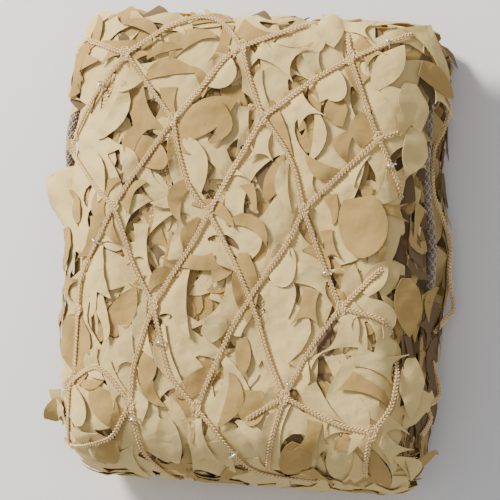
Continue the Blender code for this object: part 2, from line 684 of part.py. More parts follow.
def ribbon(line, width):
    """Closed outline of a strip of even width along a flat line."""
    left, right = [], []
    for index, spot in enumerate(line):
        before = line[max(index - 1, 0)]
        after = line[min(index + 1, len(line) - 1)]
        run = (after[0] - before[0], after[1] - before[1])
        size = math.hypot(*run)
        side = (-run[1] / size * width / 2, run[0] / size * width / 2)
        left.append((spot[0] + side[0], spot[1] + side[1]))
        right.append((spot[0] - side[0], spot[1] - side[1]))
    return left + right[::-1]


def build_net(collection, finish, lines):
    """The diamond net on the outermost fold: flat-laid cords fused at their knots."""
    pieces = []
    for line in lines:
        clean = [line[0]]
        for spot in line[1:]:
            if math.dist(spot, clean[-1]) > 0.003:
                clean.append(spot)
        if len(clean) > 1:
            pieces.append(ribbon(clean, CORD))
    for across, down in KNOTS.values():
        middle = cloth_spot(across, down)
        pieces.append([(middle[0] + KNOT * math.sin(math.radians(turn)),
                        middle[1] + KNOT * math.cos(math.radians(turn))) for turn in range(0, 360, 45)])
    spots, faces = triangulate(pieces, [])
    boxes = [(min(p[0] for p in piece), max(p[0] for p in piece), piece) for piece in pieces]
    solid = []
    for face in faces:
        middle = middle_of(face, spots)
        if any(low < middle[0] < high and inside(middle, piece) for low, high, piece in boxes):
            solid.append(face)
    off = CLOTH / 2 + LIFT_OFF + CORD_HIGH / 2
    places = [folded(*spot) + face_normal(*spot) * off for spot in spots]
    return shell("net_face", places, solid, CORD_HIGH, collection, finish)


def side_run(table, side, out):
    """Places along one side of the bundle from a table of grid rows and heights."""
    stops = []
    for down, level in table:
        y = row_y(down, side)
        corner = max(0.0, abs(y) - (LENGTH / 2 - CORNER))
        inward = CORNER - math.sqrt(max(0.0, CORNER ** 2 - corner ** 2))
        aside = -on_table(SIDE_IN, y, 1) if side > 0 else on_table(SIDE_OUT, y, -1)
        x = side * (WIDTH / 2 + out - inward + aside)
        sunk = max(0.0, (abs(x) - (WIDTH / 2 - SHOULDER)) / SHOULDER)
        z = level * HEIGHT * (1 - SINK * sunk ** 2)
        stops.append(Vector((x + SHIFT, y - x * math.tan(math.radians(SLANT)) + SHIFT_FAR, z)))
    return smooth_line(stops, 3)


def nearest_on(lines, spot):
    """The middle of the strand piece nearest to a flat spot, and the piece's flat direction."""
    knots = [cloth_spot(*mark) for mark in KNOTS.values()]
    pieces = [(a, b) for line in lines for a, b in zip(line, line[1:]) if math.dist(a, b) > 0.006
              and all(off_line(knot, a, b) > KNOT_ROOM for knot in knots)]
    start, end = min(pieces, key=lambda piece: off_line(spot, *piece))
    size = math.dist(start, end)
    middle = ((start[0] + end[0]) / 2, (start[1] + end[1]) / 2)
    return middle, ((end[0] - start[0]) / size, (end[1] - start[1]) / size)


def build_ring(name, across, down, lines, collection, finish):
    """A hog ring: a C of wire that straddles one cord, its ends just above the cloth."""
    (along, wide), run = nearest_on(lines, cloth_spot(across, down))
    up = face_normal(along, wide)
    ahead = folded(along + 0.001 * run[0], wide + 0.001 * run[1]) - folded(along, wide)
    sideways = ahead.cross(up).normalized()
    height = CLOTH / 2 + LIFT_OFF + CORD_HIGH / 2
    middle = folded(along, wide) + up * height
    low = math.degrees(math.asin((WIRE / 2 + 0.0006 - LIFT_OFF - CORD_HIGH / 2) / RING))
    spots = []
    steps = 12
    for step in range(steps + 1):
        angle = math.radians(low + (180 - 2 * low) * step / steps)
        spots.append(middle + sideways * (RING * math.cos(angle)) + up * (RING * math.sin(angle)))
    return tube(name, spots, WIRE / 2, collection, finish, sides=1)


def main():
    """Builds the bundle from an empty scene."""
    for old in list(bpy.data.objects):
        bpy.data.objects.remove(old, do_unlink=True)
    bundle = bpy.data.collections.new("camouflage_netting")
    bpy.context.scene.collection.children.link(bundle)
    sand = material("sand_cloth", (0.66, 0.57, 0.38), 0.85)
    twine = material("beige_cord", (0.62, 0.46, 0.29), 0.9)
    grey = material("grey_rope", (0.28, 0.23, 0.19), 0.9)
    steel = material("bright_steel", (0.75, 0.75, 0.75), 0.25, 1.0)
    lines = net_lines()
    build_garnish(bundle, sand, lines)
    build_net(bundle, twine, lines)
    rope_in = SEAT + ROPE / 2 - ROPE_GROOVE - 0.002
    tube("edge_rope_right", side_run(ROPE_RIGHT, 1, rope_in), ROPE / 2, bundle, grey)
    tube("edge_rope_left", side_run(ROPE_LEFT, -1, SEAT + ROPE / 2 - EDGE_IN), ROPE / 2, bundle, grey)
    loop_out = SEAT + CORD / 2 - 0.002
    tube("net_loop_right", side_run(LOOP_RIGHT, 1, loop_out), CORD / 2, bundle, twine, sides=1)
    tube("net_loop_low", side_run(LOOP_LOW, 1, loop_out), CORD / 2, bundle, twine, sides=1)
    for index, (across, down) in enumerate(HOG_RINGS, 1):
        build_ring("hog_ring_%02d" % index, across, down, lines, bundle, steel)


main()
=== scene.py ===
"""Looks of a folded bundle of leaf-cut camouflage netting.

Every piece is worked out on the flat cloth first, as (along, across) in metres, and then folded by
Bundle.place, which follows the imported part: ALONG runs through the folds, ACROSS from left to right.
The setting-out grid of the face has steps of 0.82 mm, counted from its upper left corner.
"""

import math
import random
from collections import namedtuple

import bpy
import numpy as np
from mathutils import Matrix, Quaternion, Vector
from mathutils.geometry import delaunay_2d_cdt


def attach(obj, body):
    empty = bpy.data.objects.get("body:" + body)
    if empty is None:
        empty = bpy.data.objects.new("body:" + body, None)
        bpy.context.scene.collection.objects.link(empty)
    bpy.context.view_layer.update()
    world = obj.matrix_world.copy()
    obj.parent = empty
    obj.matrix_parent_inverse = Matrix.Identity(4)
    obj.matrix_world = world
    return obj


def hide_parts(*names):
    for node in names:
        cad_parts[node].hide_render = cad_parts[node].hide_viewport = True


bl_info = {
    "name": "Camouflage netting bundle",
    "version": (1, 0, 0),
    "blender": (4, 5, 0),
    "location": "View3D > Sidebar > Netting",
    "description": "Dresses a folded bundle of leaf-cut netting: cloth, leaves, net, rope and rings",
    "category": "Object",
}

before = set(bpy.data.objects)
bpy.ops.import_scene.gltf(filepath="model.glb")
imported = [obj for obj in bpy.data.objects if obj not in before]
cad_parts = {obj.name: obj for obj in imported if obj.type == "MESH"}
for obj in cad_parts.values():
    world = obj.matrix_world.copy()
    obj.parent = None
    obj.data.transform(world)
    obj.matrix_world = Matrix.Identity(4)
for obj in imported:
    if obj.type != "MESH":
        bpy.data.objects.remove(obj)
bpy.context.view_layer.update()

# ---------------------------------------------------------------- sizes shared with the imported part
WIDTH = 0.306
LENGTH = 0.378
HEIGHT = 0.112
LAYER = 0.003            # thickness of a packed layer
FOLDS = 6                # nested folds, two layers each
BEND_REACH = 0.036       # how far the outermost fold bulges past its flat layers
TURN_REACH = 0.006       # how far the small turns at the far end bulge
BEND_STEPS = 28          # pieces round each large bend
TURN_STEPS = 10          # and round each small turn
FOLD_STAGGER = 0.004     # far turns step back by up to three of these
CORNER = 0.034           # plan radius of the bundle's corners
SHOULDER = 0.050         # strip along each side where the layers sink together
SINK = 0.30              # share of their height that the layers lose at the sides
END_SINK = 0.14          # share lost at the two ends
WAVE = 0.020             # share of the height in the surface's slow waves
SWELL_ACROSS = 0.13      # length of those waves across the bundle
SWELL_ALONG = 0.17       # and along it
RIPPLE = 0.09            # length of the finer slanting waves
SHIFT = 0.01237          # carries the bundle to the middle of its box
SHIFT_FAR = 0.00042
DRAPE = 0.026            # top layer hanging over the left side
DRAPE_RADIUS = 0.013
HEM_IN = 0.002           # the drape starts to turn this far inside the left side
TOP_EASE = 0.03          # length over which the top layer takes up its drape
EDGE_IN = 0.011          # inner layers keep this far inside the left side
SET_BACK = ((38, 8), (90, 8), (120, 9), (160, 11), (190, 14), (250, 23), (320, 21), (390, 15),
            (440, 9), (475, 5))  # (row, mm) that the top layer stops short of the right side
SIDE_IN = ((40, 4), (80, 8), (185, 9), (242, 1), (286, 1), (335, 6), (440, 7), (480, 7))  # (row, mm)
                         # that all layers stand in at the right
SIDE_OUT = ((50, 2), (95, 12), (165, 15), (215, 11), (245, 0), (480, 0))  # and bulge at the left
SLOPE_FROM = 0.5         # share of the height above which the layers step back
NEAR_CORNER = 0.006      # extra rounding of the near right corner
NEAR_ROW = 400           # row where that rounding starts
AIM_LEFT = 0.0082        # the grid's middle lies this far left of the bundle's
AIM_NEAR = 0.0025        # and this far nearer
TURN = 3.0               # degrees that the bundle lies turned clockwise on the grid
SLANT = math.tan(math.radians(2.1))
END_TURN = 3.5           # degrees that the bundle's ends show turned on the grid
ROPE_GROOVE = 0.012      # depth of the groove that holds the edge rope on the right
ROPE_LEVEL = 0.54        # its share of the height
ROPE_NOTCH = 134         # row of the notch that shows the left rope
DRAPE_FLARES = ((190, 0.018, 1.2), (437, 0.013, 1.1))  # (row, metres along, share that the drape
                         # turns wider) where its leaves stand out
GRID = 0.00082           # step of the grid that the face is set out on
GRID_MIDDLE = 250        # its middle line, both ways
STAND = 3.0              # the standpoint that the face is set out from is this far off
LEAN_RIGHT = 12.0        # degrees: standpoint's lean to the right
LEAN_NEAR = 8.0          # and towards the near end

# ---------------------------------------------------------------- heights above the cloth's middle, metres
UNDERSIDE = 0.0012       # face cloth where the bundle lies on it
PRESSED = 0.0018         # face cloth under a cord
PUFF = 0.0024            # how much it swells between the cords
CORD_LINE = 0.0046       # middle of a cord
LEVELS = 5               # levels of the leaves between the face cloth and the cloth under it
SECOND = -0.0030         # cloth below the face cloth
THIRD = -0.0058          # and the one below that
FOLD_PLY = 0.0022        # each of the two cloths of the inner folds, from the middle between them

# ---------------------------------------------------------------- the shown cloth
SHEET = 0.0006           # its thickness
FACE_STEP = 0.0038       # step of the loose points of the face cloth
UNDER_STEP = 0.008       # of the two cloths below it
FOLD_STEP = 0.013        # and of the inner folds
SMALL_STEP = 0.006       # of the leaves that don't lie on the face
TURN_STEP = 0.005        # of those round the far turns
LEAF_STEP = 0.0040       # and of those that do
FACE_RIM = 12            # points on each side of the outline of a leaf on the face
SMALL_RIM = 8            # and of the others
CREASES = ((0.0010, 0.022, 4), (0.0005, 0.012, 9))  # the face's small folds: height, length, seed
RIM_REACH = 0.0042       # how far from a cut its rim curls
RIM_CURL = 0.0011        # and how high
HEM_STRIP = 0.016        # strip along the right side where the face cloth turns down
HEM_DROP = 0.0035        # and how far it does
NOTCH_HALF = 0.026       # half the length of the notch that shows the left rope
NOTCH_EASE = 0.012       # length over which its ends slope

# ---------------------------------------------------------------- leaves, metres and degrees
LEAF_OFF = 0.0010        # room between a leaf and the face cloth
LEAF_RUMPLE = 0.0006     # height of a leaf's own small folds
LEAF_PRESSED = 0.0011    # most that a leaf lies off the face cloth under a cord
ROOF_ROOM = 0.0016       # leaves in the cuts keep this far below the face cloth
FLOOR_ROOM = 0.0007      # and this far above the cloth under it
FLARE_ROOM = 0.036       # strewn leaves keep this far from the middle of the upper flare
DRAPE_END = 0.180        # and within this distance of the cloth's middle, at the left

# strewn leaves: tries, least and greatest length and width, the way that most of their tips point
# (0 = right, -90 = near end or down) and how much that varies
Strewn = namedtuple("Strewn", "tries length width turn scatter")
SHINGLES = Strewn(3600, (0.026, 0.050), (0.014, 0.026), -80, 46)
JUMBLE = Strewn(1300, (0.022, 0.044), (0.012, 0.026), -80, 25)
SIDE_LEAVES = Strewn(95, (0.030, 0.056), (0.014, 0.024), -85, 28)
TURN_LEAVES = Strewn(15, (0.030, 0.052), (0.014, 0.024), 0, 25)
SLITS = Strewn(60, (0.022, 0.040), (0.16, 0.34), -80, 45)  # width as a share of the length

# ---------------------------------------------------------------- light
WORLD = ((0.93, 0.94, 1.0, 1), 0.40)  # colour and strength
LAMP_COLOUR = (1.0, 0.95, 0.87)
LAMPS = (("key", (-1.5, 1.2, 1.4), 0.6, 106.0), ("fill", (0.5, -0.4, 2.2), 1.8, 8.0))  # place, size, watts

# ---------------------------------------------------------------- setting-out tables (grid steps)
# a cut's middle on the grid, the way its tip points (degrees, 0 = right, 90 = far end), its length
# and width, its outline and how much it bends along its length (degrees)
Cut = namedtuple("Cut", "across down turn length width outline bend")
CUTS = [Cut(*row) for row in (
    (126, 18, -80, 18, 13, "disc", 0), (151, 43, 10, 82, 42, "leaf", 0), (211, 27, 10, 36, -22, "half", 0),
    (213, 77, 55, 68, -48, "half", 0), (140, 118, 60, 66, 54, "disc", 0), (107, 92, 62, 52, 17, "leaf", 20),
    (88, 78, 75, 44, 22, "half", 0), (130, 180, -65, 64, 32, "tail", 0), (142, 222, 60, 46, 24, "leaf", 20),
    (174, 168, -78, 55, -32, "half", 0), (214, 188, -65, 58, 26, "leaf", 0),
    (176, 238, 45, 52, 36, "fin", 0), (240, 112, -70, 44, 24, "half", 0), (255, 68, -85, 46, 15, "leaf", 0),
    (358, 51, -45, 32, -22, "half", 0), (326, 130, 80, 64, 42, "half", 0),
    (363, 112, -65, 52, 18, "leaf", 15), (264, 188, 70, 74, 28, "leaf", -15),
    (354, 188, 70, 60, -36, "half", 0), (314, 230, -65, 50, 28, "leaf", 0),
    (402, 68, 30, 60, 36, "half", 0), (400, 158, 60, 34, 16, "leaf", 0), (203, 290, 60, 58, 44, "disc", 0),
    (160, 268, -70, 46, 18, "leaf", 0), (110, 288, 10, 32, -22, "half", 0),
    (124, 312, 65, 56, 30, "leaf", 0), (100, 320, -75, 54, 20, "leaf", 0),
    (82, 350, -80, 66, 30, "leaf", 0), (163, 332, 40, 36, 28, "fin", 0), (149, 365, 85, 48, 22, "leaf", 0),
    (206, 378, -60, 44, 30, "half", 0), (232, 366, -62, 96, 42, "fin", 0),
    (318, 330, 62, 58, -28, "half", 0), (336, 282, -75, 50, 20, "leaf", -15),
    (356, 258, 30, 34, -22, "half", 0), (343, 376, 60, 64, 42, "half", 0),
    (341, 438, 12, 32, 12, "leaf", 0), (160, 459, -35, 44, 18, "leaf", 0), (124, 466, 5, 38, 22, "fin", 0),
    (329, 464, 75, 38, 22, "fin", 0), (380, 468, -70, 44, 20, "leaf", 0),
    (262, 312, -80, 34, 14, "leaf", 0), (260, 382, 80, 42, 14, "leaf", 25),
    (237, 430, 15, 34, 20, "fin", 0), (110, 424, 15, 30, -18, "half", 0),
    (298, 400, -60, 30, 10, "leaf", 0), (285, 56, -15, 48, 30, "tail", 0),
    (306, 96, -50, 46, 26, "leaf", 0), (388, 400, 80, 40, 16, "leaf", 0), (236, 150, 60, 30, 14, "leaf", 0),
    (66, 424, -70, 26, 12, "leaf", 0), (278, 24, 5, 34, -13, "half", 0), (396, 33, 8, 40, 13, "fin", 0),
    (330, 22, -5, 30, 12, "leaf", 0), (286, 470, 20, 36, 18, "leaf", 0), (212, 470, -20, 34, 16, "leaf", 0),
)]

# leaves that lie on the face: the tone that shows, then the height of the root and of the tip above
# the face cloth and how far the long edges curl up, in tenths of a millimetre
Leaf = namedtuple("Leaf", "across down turn length width outline bend tone root tip cup")
LEAVES = [Leaf(*row) for row in (
    (144, 118, -64, 58, 42, "tail", 0, "tan", 1, 8, 3),
    (122, 114, 66, 66, 17, "leaf", 75, "sand", 4, 60, 8),
    (221, 72, 10, 36, 36, "disc", 0, "sand", 3, 24, 6),
    (208, 116, 38, 68, 32, "leaf", -30, "tan", 14, 30, 6),
    (216, 124, 75, 42, -24, "half", 0, "tan", 20, 36, 4),
    (122, 165, -78, 38, 26, "half", 0, "sand", 3, 24, 8), (137, 196, 40, 34, 22, "fin", 0, "tan", 3, 14, 4),
    (196, 166, -72, 56, 30, "leaf", 0, "sand", 6, 26, 8),
    (331, 36, -70, 36, 29, "leaf", 0, "sand", 12, 40, 10),
    (311, 41, -40, 34, 28, "disc", 0, "sand", 3, 24, 6),
    (281, 58, -22, 48, 36, "tail", 0, "sand", 6, 34, 6),
    (270, 92, -75, 46, -26, "half", 0, "sand", 4, 26, 8),
    (304, 108, -55, 42, 28, "tail", 0, "sand", 6, 36, 8),
    (313, 136, 85, 52, -22, "half", 0, "sand", 3, 20, 6),
    (282, 130, -65, 60, 15, "leaf", 12, "tan", 3, 16, 4),
    (292, 188, -85, 54, -23, "half", 0, "sand", 3, 26, 6),
    (276, 178, 72, 50, 18, "leaf", 0, "tan", 3, 10, 4), (363, 172, 68, 34, 18, "half", 0, "sand", 3, 18, 8),
    (378, 186, 72, 44, -28, "half", 0, "sand", 6, 30, 8),
    (364, 229, -80, 60, 46, "disc", 0, "tan", 14, 36, 6),
    (377, 243, -86, 38, 16, "fin", 0, "tan", 24, 50, 4),
    (388, 112, -65, 52, 36, "half", 0, "sand", 6, 28, 10),
    (410, 108, -78, 46, 24, "leaf", 20, "sand", 20, 50, 16),
    (412, 154, -98, 52, 22, "leaf", -25, "sand", 14, 50, 14),
    (389, 68, 62, 48, 24, "leaf", 0, "sand", 10, 46, 12),
    (424, 53, -62, 48, 26, "fin", 0, "sand", 6, 26, 8),
    (430, 80, -10, 26, 22, "disc", 0, "tan", 20, 60, 18),
    (434, 95, -80, 28, 16, "tail", 0, "sand", 24, 50, 14),
    (111, 273, -80, 54, -28, "half", 0, "sand", 4, 30, 8),
    (125, 312, 65, 54, 27, "leaf", 0, "tan", 3, 24, 6), (103, 320, -75, 48, 17, "fin", 0, "sand", 4, 40, 6),
    (82, 350, -80, 74, 36, "leaf", 0, "tan", 6, 30, 8),
    (192, 305, -86, 68, -29, "half", 0, "sand", 12, 38, 6),
    (149, 365, 85, 44, 19, "leaf", 0, "tan", 3, 8, 4),
    (177, 356, -70, 66, -30, "half", 0, "sand", 10, 32, 8),
    (216, 328, 55, 28, 21, "disc", 0, "sand", 12, 56, 20),
    (247, 289, -85, 70, 27, "leaf", 0, "tan", 8, 34, 8),
    (286, 296, -75, 46, 25, "leaf", 0, "sand", 14, 36, 8),
    (284, 332, -80, 66, 42, "half", 0, "sand", 4, 20, 6),
    (316, 280, -15, 42, 36, "tail", 0, "sand", 4, 26, 6),
    (353, 284, 82, 38, 20, "leaf", 0, "sand", 4, 24, 8),
    (377, 278, 62, 40, 19, "leaf", 0, "sand", 4, 26, 10),
    (378, 364, -15, 44, 34, "tail", 0, "sand", 3, 16, 8),
    (366, 396, -35, 46, 22, "fin", 0, "tan", 4, 50, 10),
    (406, 308, -86, 58, 23, "leaf", 0, "tan", 20, 40, 12),
    (409, 389, -88, 62, 19, "leaf", 0, "sand", 20, 42, 10),
    (286, 432, 80, 56, 31, "half", 0, "sand", 4, 24, 8),
    (361, 446, -82, 24, 18, "fin", 0, "sand", 12, 36, 8),
    (350, 463, 62, 42, -25, "half", 0, "sand", 6, 30, 8),
    (352, 448, -20, 32, 14, "fin", 0, "tan", 4, 20, 4), (380, 468, -72, 44, 19, "leaf", 0, "tan", 3, 24, 6),
    (388, 446, -50, 36, 24, "tail", 0, "sand", 4, 30, 10),
    (400, 470, -70, 38, 24, "half", 0, "sand", 4, 20, 8),
    (80, 406, -55, 36, 27, "disc", 0, "sand", 10, 42, 10),
    (84, 434, -15, 34, 26, "tail", 0, "sand", 12, 40, 10),
    (110, 448, 55, 38, 22, "leaf", 0, "tan", 6, 30, 8),
    (200, 441, -72, 48, 35, "tail", 0, "sand", 8, 34, 8),
    (172, 440, -78, 44, 25, "leaf", 0, "sand", 8, 32, 8),
    (155, 432, -80, 30, 26, "disc", 0, "sand", 4, 20, 6),
    (224, 400, -100, 54, 30, "half", 0, "tan", 3, 12, 4), (143, 290, 80, 30, 14, "half", 0, "tan", 3, 8, 4),
    (152, 330, -80, 60, -26, "half", 0, "sand", 3, 10, 4),
    (240, 60, -70, 30, 16, "fin", 0, "sand", 3, 16, 6), (168, 128, 0, 26, 20, "disc", 0, "sand", 3, 6, 4),
    (103, 31, 30, 40, 26, "half", 0, "sand", 3, 8, 4), (96, 36, 65, 34, -22, "half", 0, "tan", 8, 20, 4),
    (78, 76, 80, 44, -20, "half", 0, "tan", 3, 14, 6), (140, 60, 10, 24, 14, "fin", 0, "tan", 3, 6, 4),
    (166, 56, 20, 36, 16, "half", 0, "tan", 3, 10, 4), (174, 34, -30, 26, 14, "fin", 0, "sand", 3, 14, 6),
    (250, 200, -75, 30, 14, "fin", 0, "tan", 3, 14, 6),
    (228, 168, -60, 40, 26, "tail", 0, "sand", 3, 16, 6), (330, 210, -85, 30, 18, "fin", 0, "tan", 3, 8, 4),
    (318, 262, -60, 34, 20, "fin", 0, "tan", 3, 14, 6),
    (344, 330, -40, 36, 24, "half", 0, "sand", 3, 16, 6),
    (300, 372, -70, 30, 22, "fin", 0, "sand", 3, 16, 6),
    (244, 358, -85, 40, 16, "leaf", 0, "tan", 3, 16, 4), (76, 212, -68, 46, 20, "half", 0, "tan", 4, 16, 6),
    (92, 176, -62, 66, 32, "half", 0, "sand", 3, 16, 4), (70, 250, -86, 46, 18, "leaf", 0, "tan", 3, 20, 8),
    (62, 300, -80, 40, 16, "leaf", 0, "tan", 4, 24, 8), (66, 330, -88, 34, 12, "fin", 0, "sand", 4, 24, 8),
    (116, 384, -60, 44, 24, "tail", 0, "sand", 4, 24, 6),
    (128, 350, -84, 48, 26, "tail", 0, "sand", 3, 12, 4),
    (356, 31, -12, 46, 20, "tail", 0, "sand", 6, 26, 6),
    (100, 468, -40, 34, 22, "half", 0, "sand", 3, 18, 6),
    (136, 470, -60, 30, 20, "fin", 0, "tan", 3, 16, 6), (190, 470, -80, 30, 18, "fin", 0, "tan", 3, 14, 6),
    (262, 466, -70, 34, 24, "tail", 0, "sand", 3, 16, 6),
    (318, 474, -60, 36, 20, "fin", 0, "tan", 3, 12, 6), (344, 480, 5, 40, 16, "half", 0, "sand", 3, 16, 6),
    (143, 35, -20, 44, 20, "half", 0, "tan", 3, 10, 4), (197, 84, -65, 34, 18, "half", 0, "tan", 3, 10, 4),
    (214, 27, 8, 44, 16, "half", 0, "tan", 3, 10, 4),
)]

KNOTS = {
    "A": (127.5, 55), "B": (175, 121), "C": (210.5, 213.5), "D": (115.6, 207), "E": (74, 148),
    "F": (244, 49), "G": (264, 118), "H": (352, 60.6), "I": (379, 140), "J": (304, 210.5),
    "K": (154.7, 306), "L": (197.7, 409), "M": (132, 405), "N": (83, 312), "O": (72, 385.5),
    "P": (180, 476), "Q": (74, 440), "R": (341, 310), "S": (285, 398), "T": (373, 433),
}
STRANDS = (
    ((84, 40), "A"), ("A", (170, 29), (206, 16), (219, 17), "F"), ("A", (98, 98), "E"), ("A", "B"),
    ("B", (206, 85), (226, 58), "F"), ("F", (252, 84), "G"), ("F", (250, 46), (319, 25)),
    ("B", (134, 177), "D"), ("B", (180, 156), (191, 191), "C"), ("E", (99, 188), "D"),
    ("D", (127.5, 244), (132, 262), "K"), ("D", (100, 243), (84, 280), "N"),
    ("C", (249, 143), "G"), ("C", (190, 251), "K"), ("C", (234, 258), (258, 317), (269, 358), "S"),
    ("G", (319, 78), "H"), ("G", (283, 143), (296, 167), "J"), ("H", (348, 28)),
    ("H", (362, 89), (371, 121), "I"), ("H", (400, 42), (420, 34)), ("I", (406, 131)), ("I", "J"),
    ("I", (394, 177), (402, 199)), ("J", (287, 247), (260, 285), (234, 325), "L"),
    ("J", (317, 249), "R"), ("R", (389, 263)), ("R", (385, 319), (392, 334)),
    ("R", (314, 346), "S"), ("S", (261, 413), (240, 424)), ("S", (271, 441), (268, 470)),
    ("S", (339, 425), "T"), ("T", (390, 409), (397, 362)), ("T", (367, 455), (367, 478)),
    ("K", (134, 368), "M"), ("K", (169, 377), "L"), ("L", (249, 464), (268, 470), (330, 478)),
    ("L", (191, 428)), ("N", (81, 339), (80, 365), "O"), ("O", (100, 362), "M"),
    ("M", (139, 429), (143, 449), "P"), ("M", (112, 438), "Q"), ("O", (74, 415), "Q"),
)
# cords of the layer below, seen through the cuts: ends by across and down
UNDER_STRANDS = (
    ((160, 158), (172, 176), (170, 192)), ((186, 102), (212, 76)), ((100, 118), (115, 80), (124, 64)),
    ((236, 130), (252, 104)), ((268, 222), (282, 190), (318, 156)), ((300, 322), (326, 300)),
    ((262, 330), (262, 300)), ((148, 339), (160, 352), (166, 372)), ((334, 438), (352, 432)),
    ((258, 414), (280, 404)), ((150, 226), (154, 206)), ((358, 250), (372, 232), (392, 216)),
)
STRAND_STEP = 0.004      # metres between the places of a strand
DIVE = 0.0060            # how deep a strand's free end dives into the cloth
DIVE_RUN = 0.012         # and over what length
UNDER_CORD = 0.0026      # cords of the layer below lie this far under the face cloth
KNOT_TURNS = 1.6         # turns that a knot's cord makes
KNOT_RADIUS = 0.0017
KNOT_LONG = 1.7          # how much longer than wide a knot is
HOG_RINGS = ((105, 82), (96, 240), (388, 47), (388, 168), (329, 276), (165, 345), (136, 418), (292, 386),
             (232, 448))
RING_ARC = (-62, 236)    # degrees from side to up where a ring's wire starts and ends
RING_PIECES = 40
RING_PASS = 0.0016       # its ends pass this far beside each other
ROPE_RIGHT = ((84, 0.57), (112, 0.54), (140, 0.51), (168, 0.56), (200, 0.51), (232, 0.55),
              (262, 0.51), (290, 0.54))
ROPE_LEFT = ((104, 0.66), (118, 0.80), (134, 0.84), (150, 0.80), (164, 0.66))
ROPE_RIGHT_OUT = -0.0105  # how far past the bundle's side the middle of each rope lies
ROPE_LEFT_OUT = 0.0010
BRAID_YARNS = 8          # yarns of the rope that run each way
BRAID_PITCH = 0.030      # length in which one goes round it
LOOP_RIGHT = ((92, 0.72), (106, 0.66), (130, 0.52), (150, 0.40), (190, 0.46), (214, 0.42),
              (238, 0.32), (274, 0.36), (300, 0.26), (312, 0.30), (330, 0.42))
SWING_RIGHT = ((92, 0), (108, 7), (126, 3), (145, -7), (165, -8), (200, -5), (232, 2), (255, -3),
               (278, 2), (296, 7), (312, 2), (330, -4))  # (row, mm) that the loop swings out
SWING_LOW = ((336, -6), (352, -3), (379, 3), (396, 1), (404, -3), (416, -1), (434, -5))
LOOP_LOW = ((336, 0.62), (352, 0.52), (384, 0.34), (396, 0.42), (404, 0.56), (416, 0.50), (434, 0.64))


def ease(value):
    """0 to 1, flat at both ends, for numbers or arrays."""
    value = np.clip(value, 0.0, 1.0)
    return value * value * (3 - 2 * value)


def run_of(line):
    """Lengths along a line up to each of its places."""
    return np.concatenate([[0.0], np.cumsum(np.linalg.norm(np.diff(line, axis=0), axis=1))])


def at_run(lengths, run, line):
    """Places of a line at lengths along it; run holds the lengths of its own places."""
    return np.stack([np.interp(lengths, run, column) for column in line.T], axis=-1)


def unit(rows):
    """Rows with their lengths made 1."""
    return rows / np.linalg.norm(rows, axis=-1, keepdims=True)


def row_y(down, side):
    """Place along the bundle of a row of the grid."""
    aside = side * WIDTH / 2 * math.tan(math.radians(END_TURN))
    return ((GRID_MIDDLE - down) * GRID + aside) / math.cos(math.radians(LEAN_NEAR)) - AIM_NEAR


def on_table(table, y, side):
    """Values of a (row, mm) table of a side at places along the bundle, in metres."""
    rows = [row_y(down, side) for down, _ in table][::-1]
    return np.interp(y, rows, [out / 1000 for _, out in table][::-1])


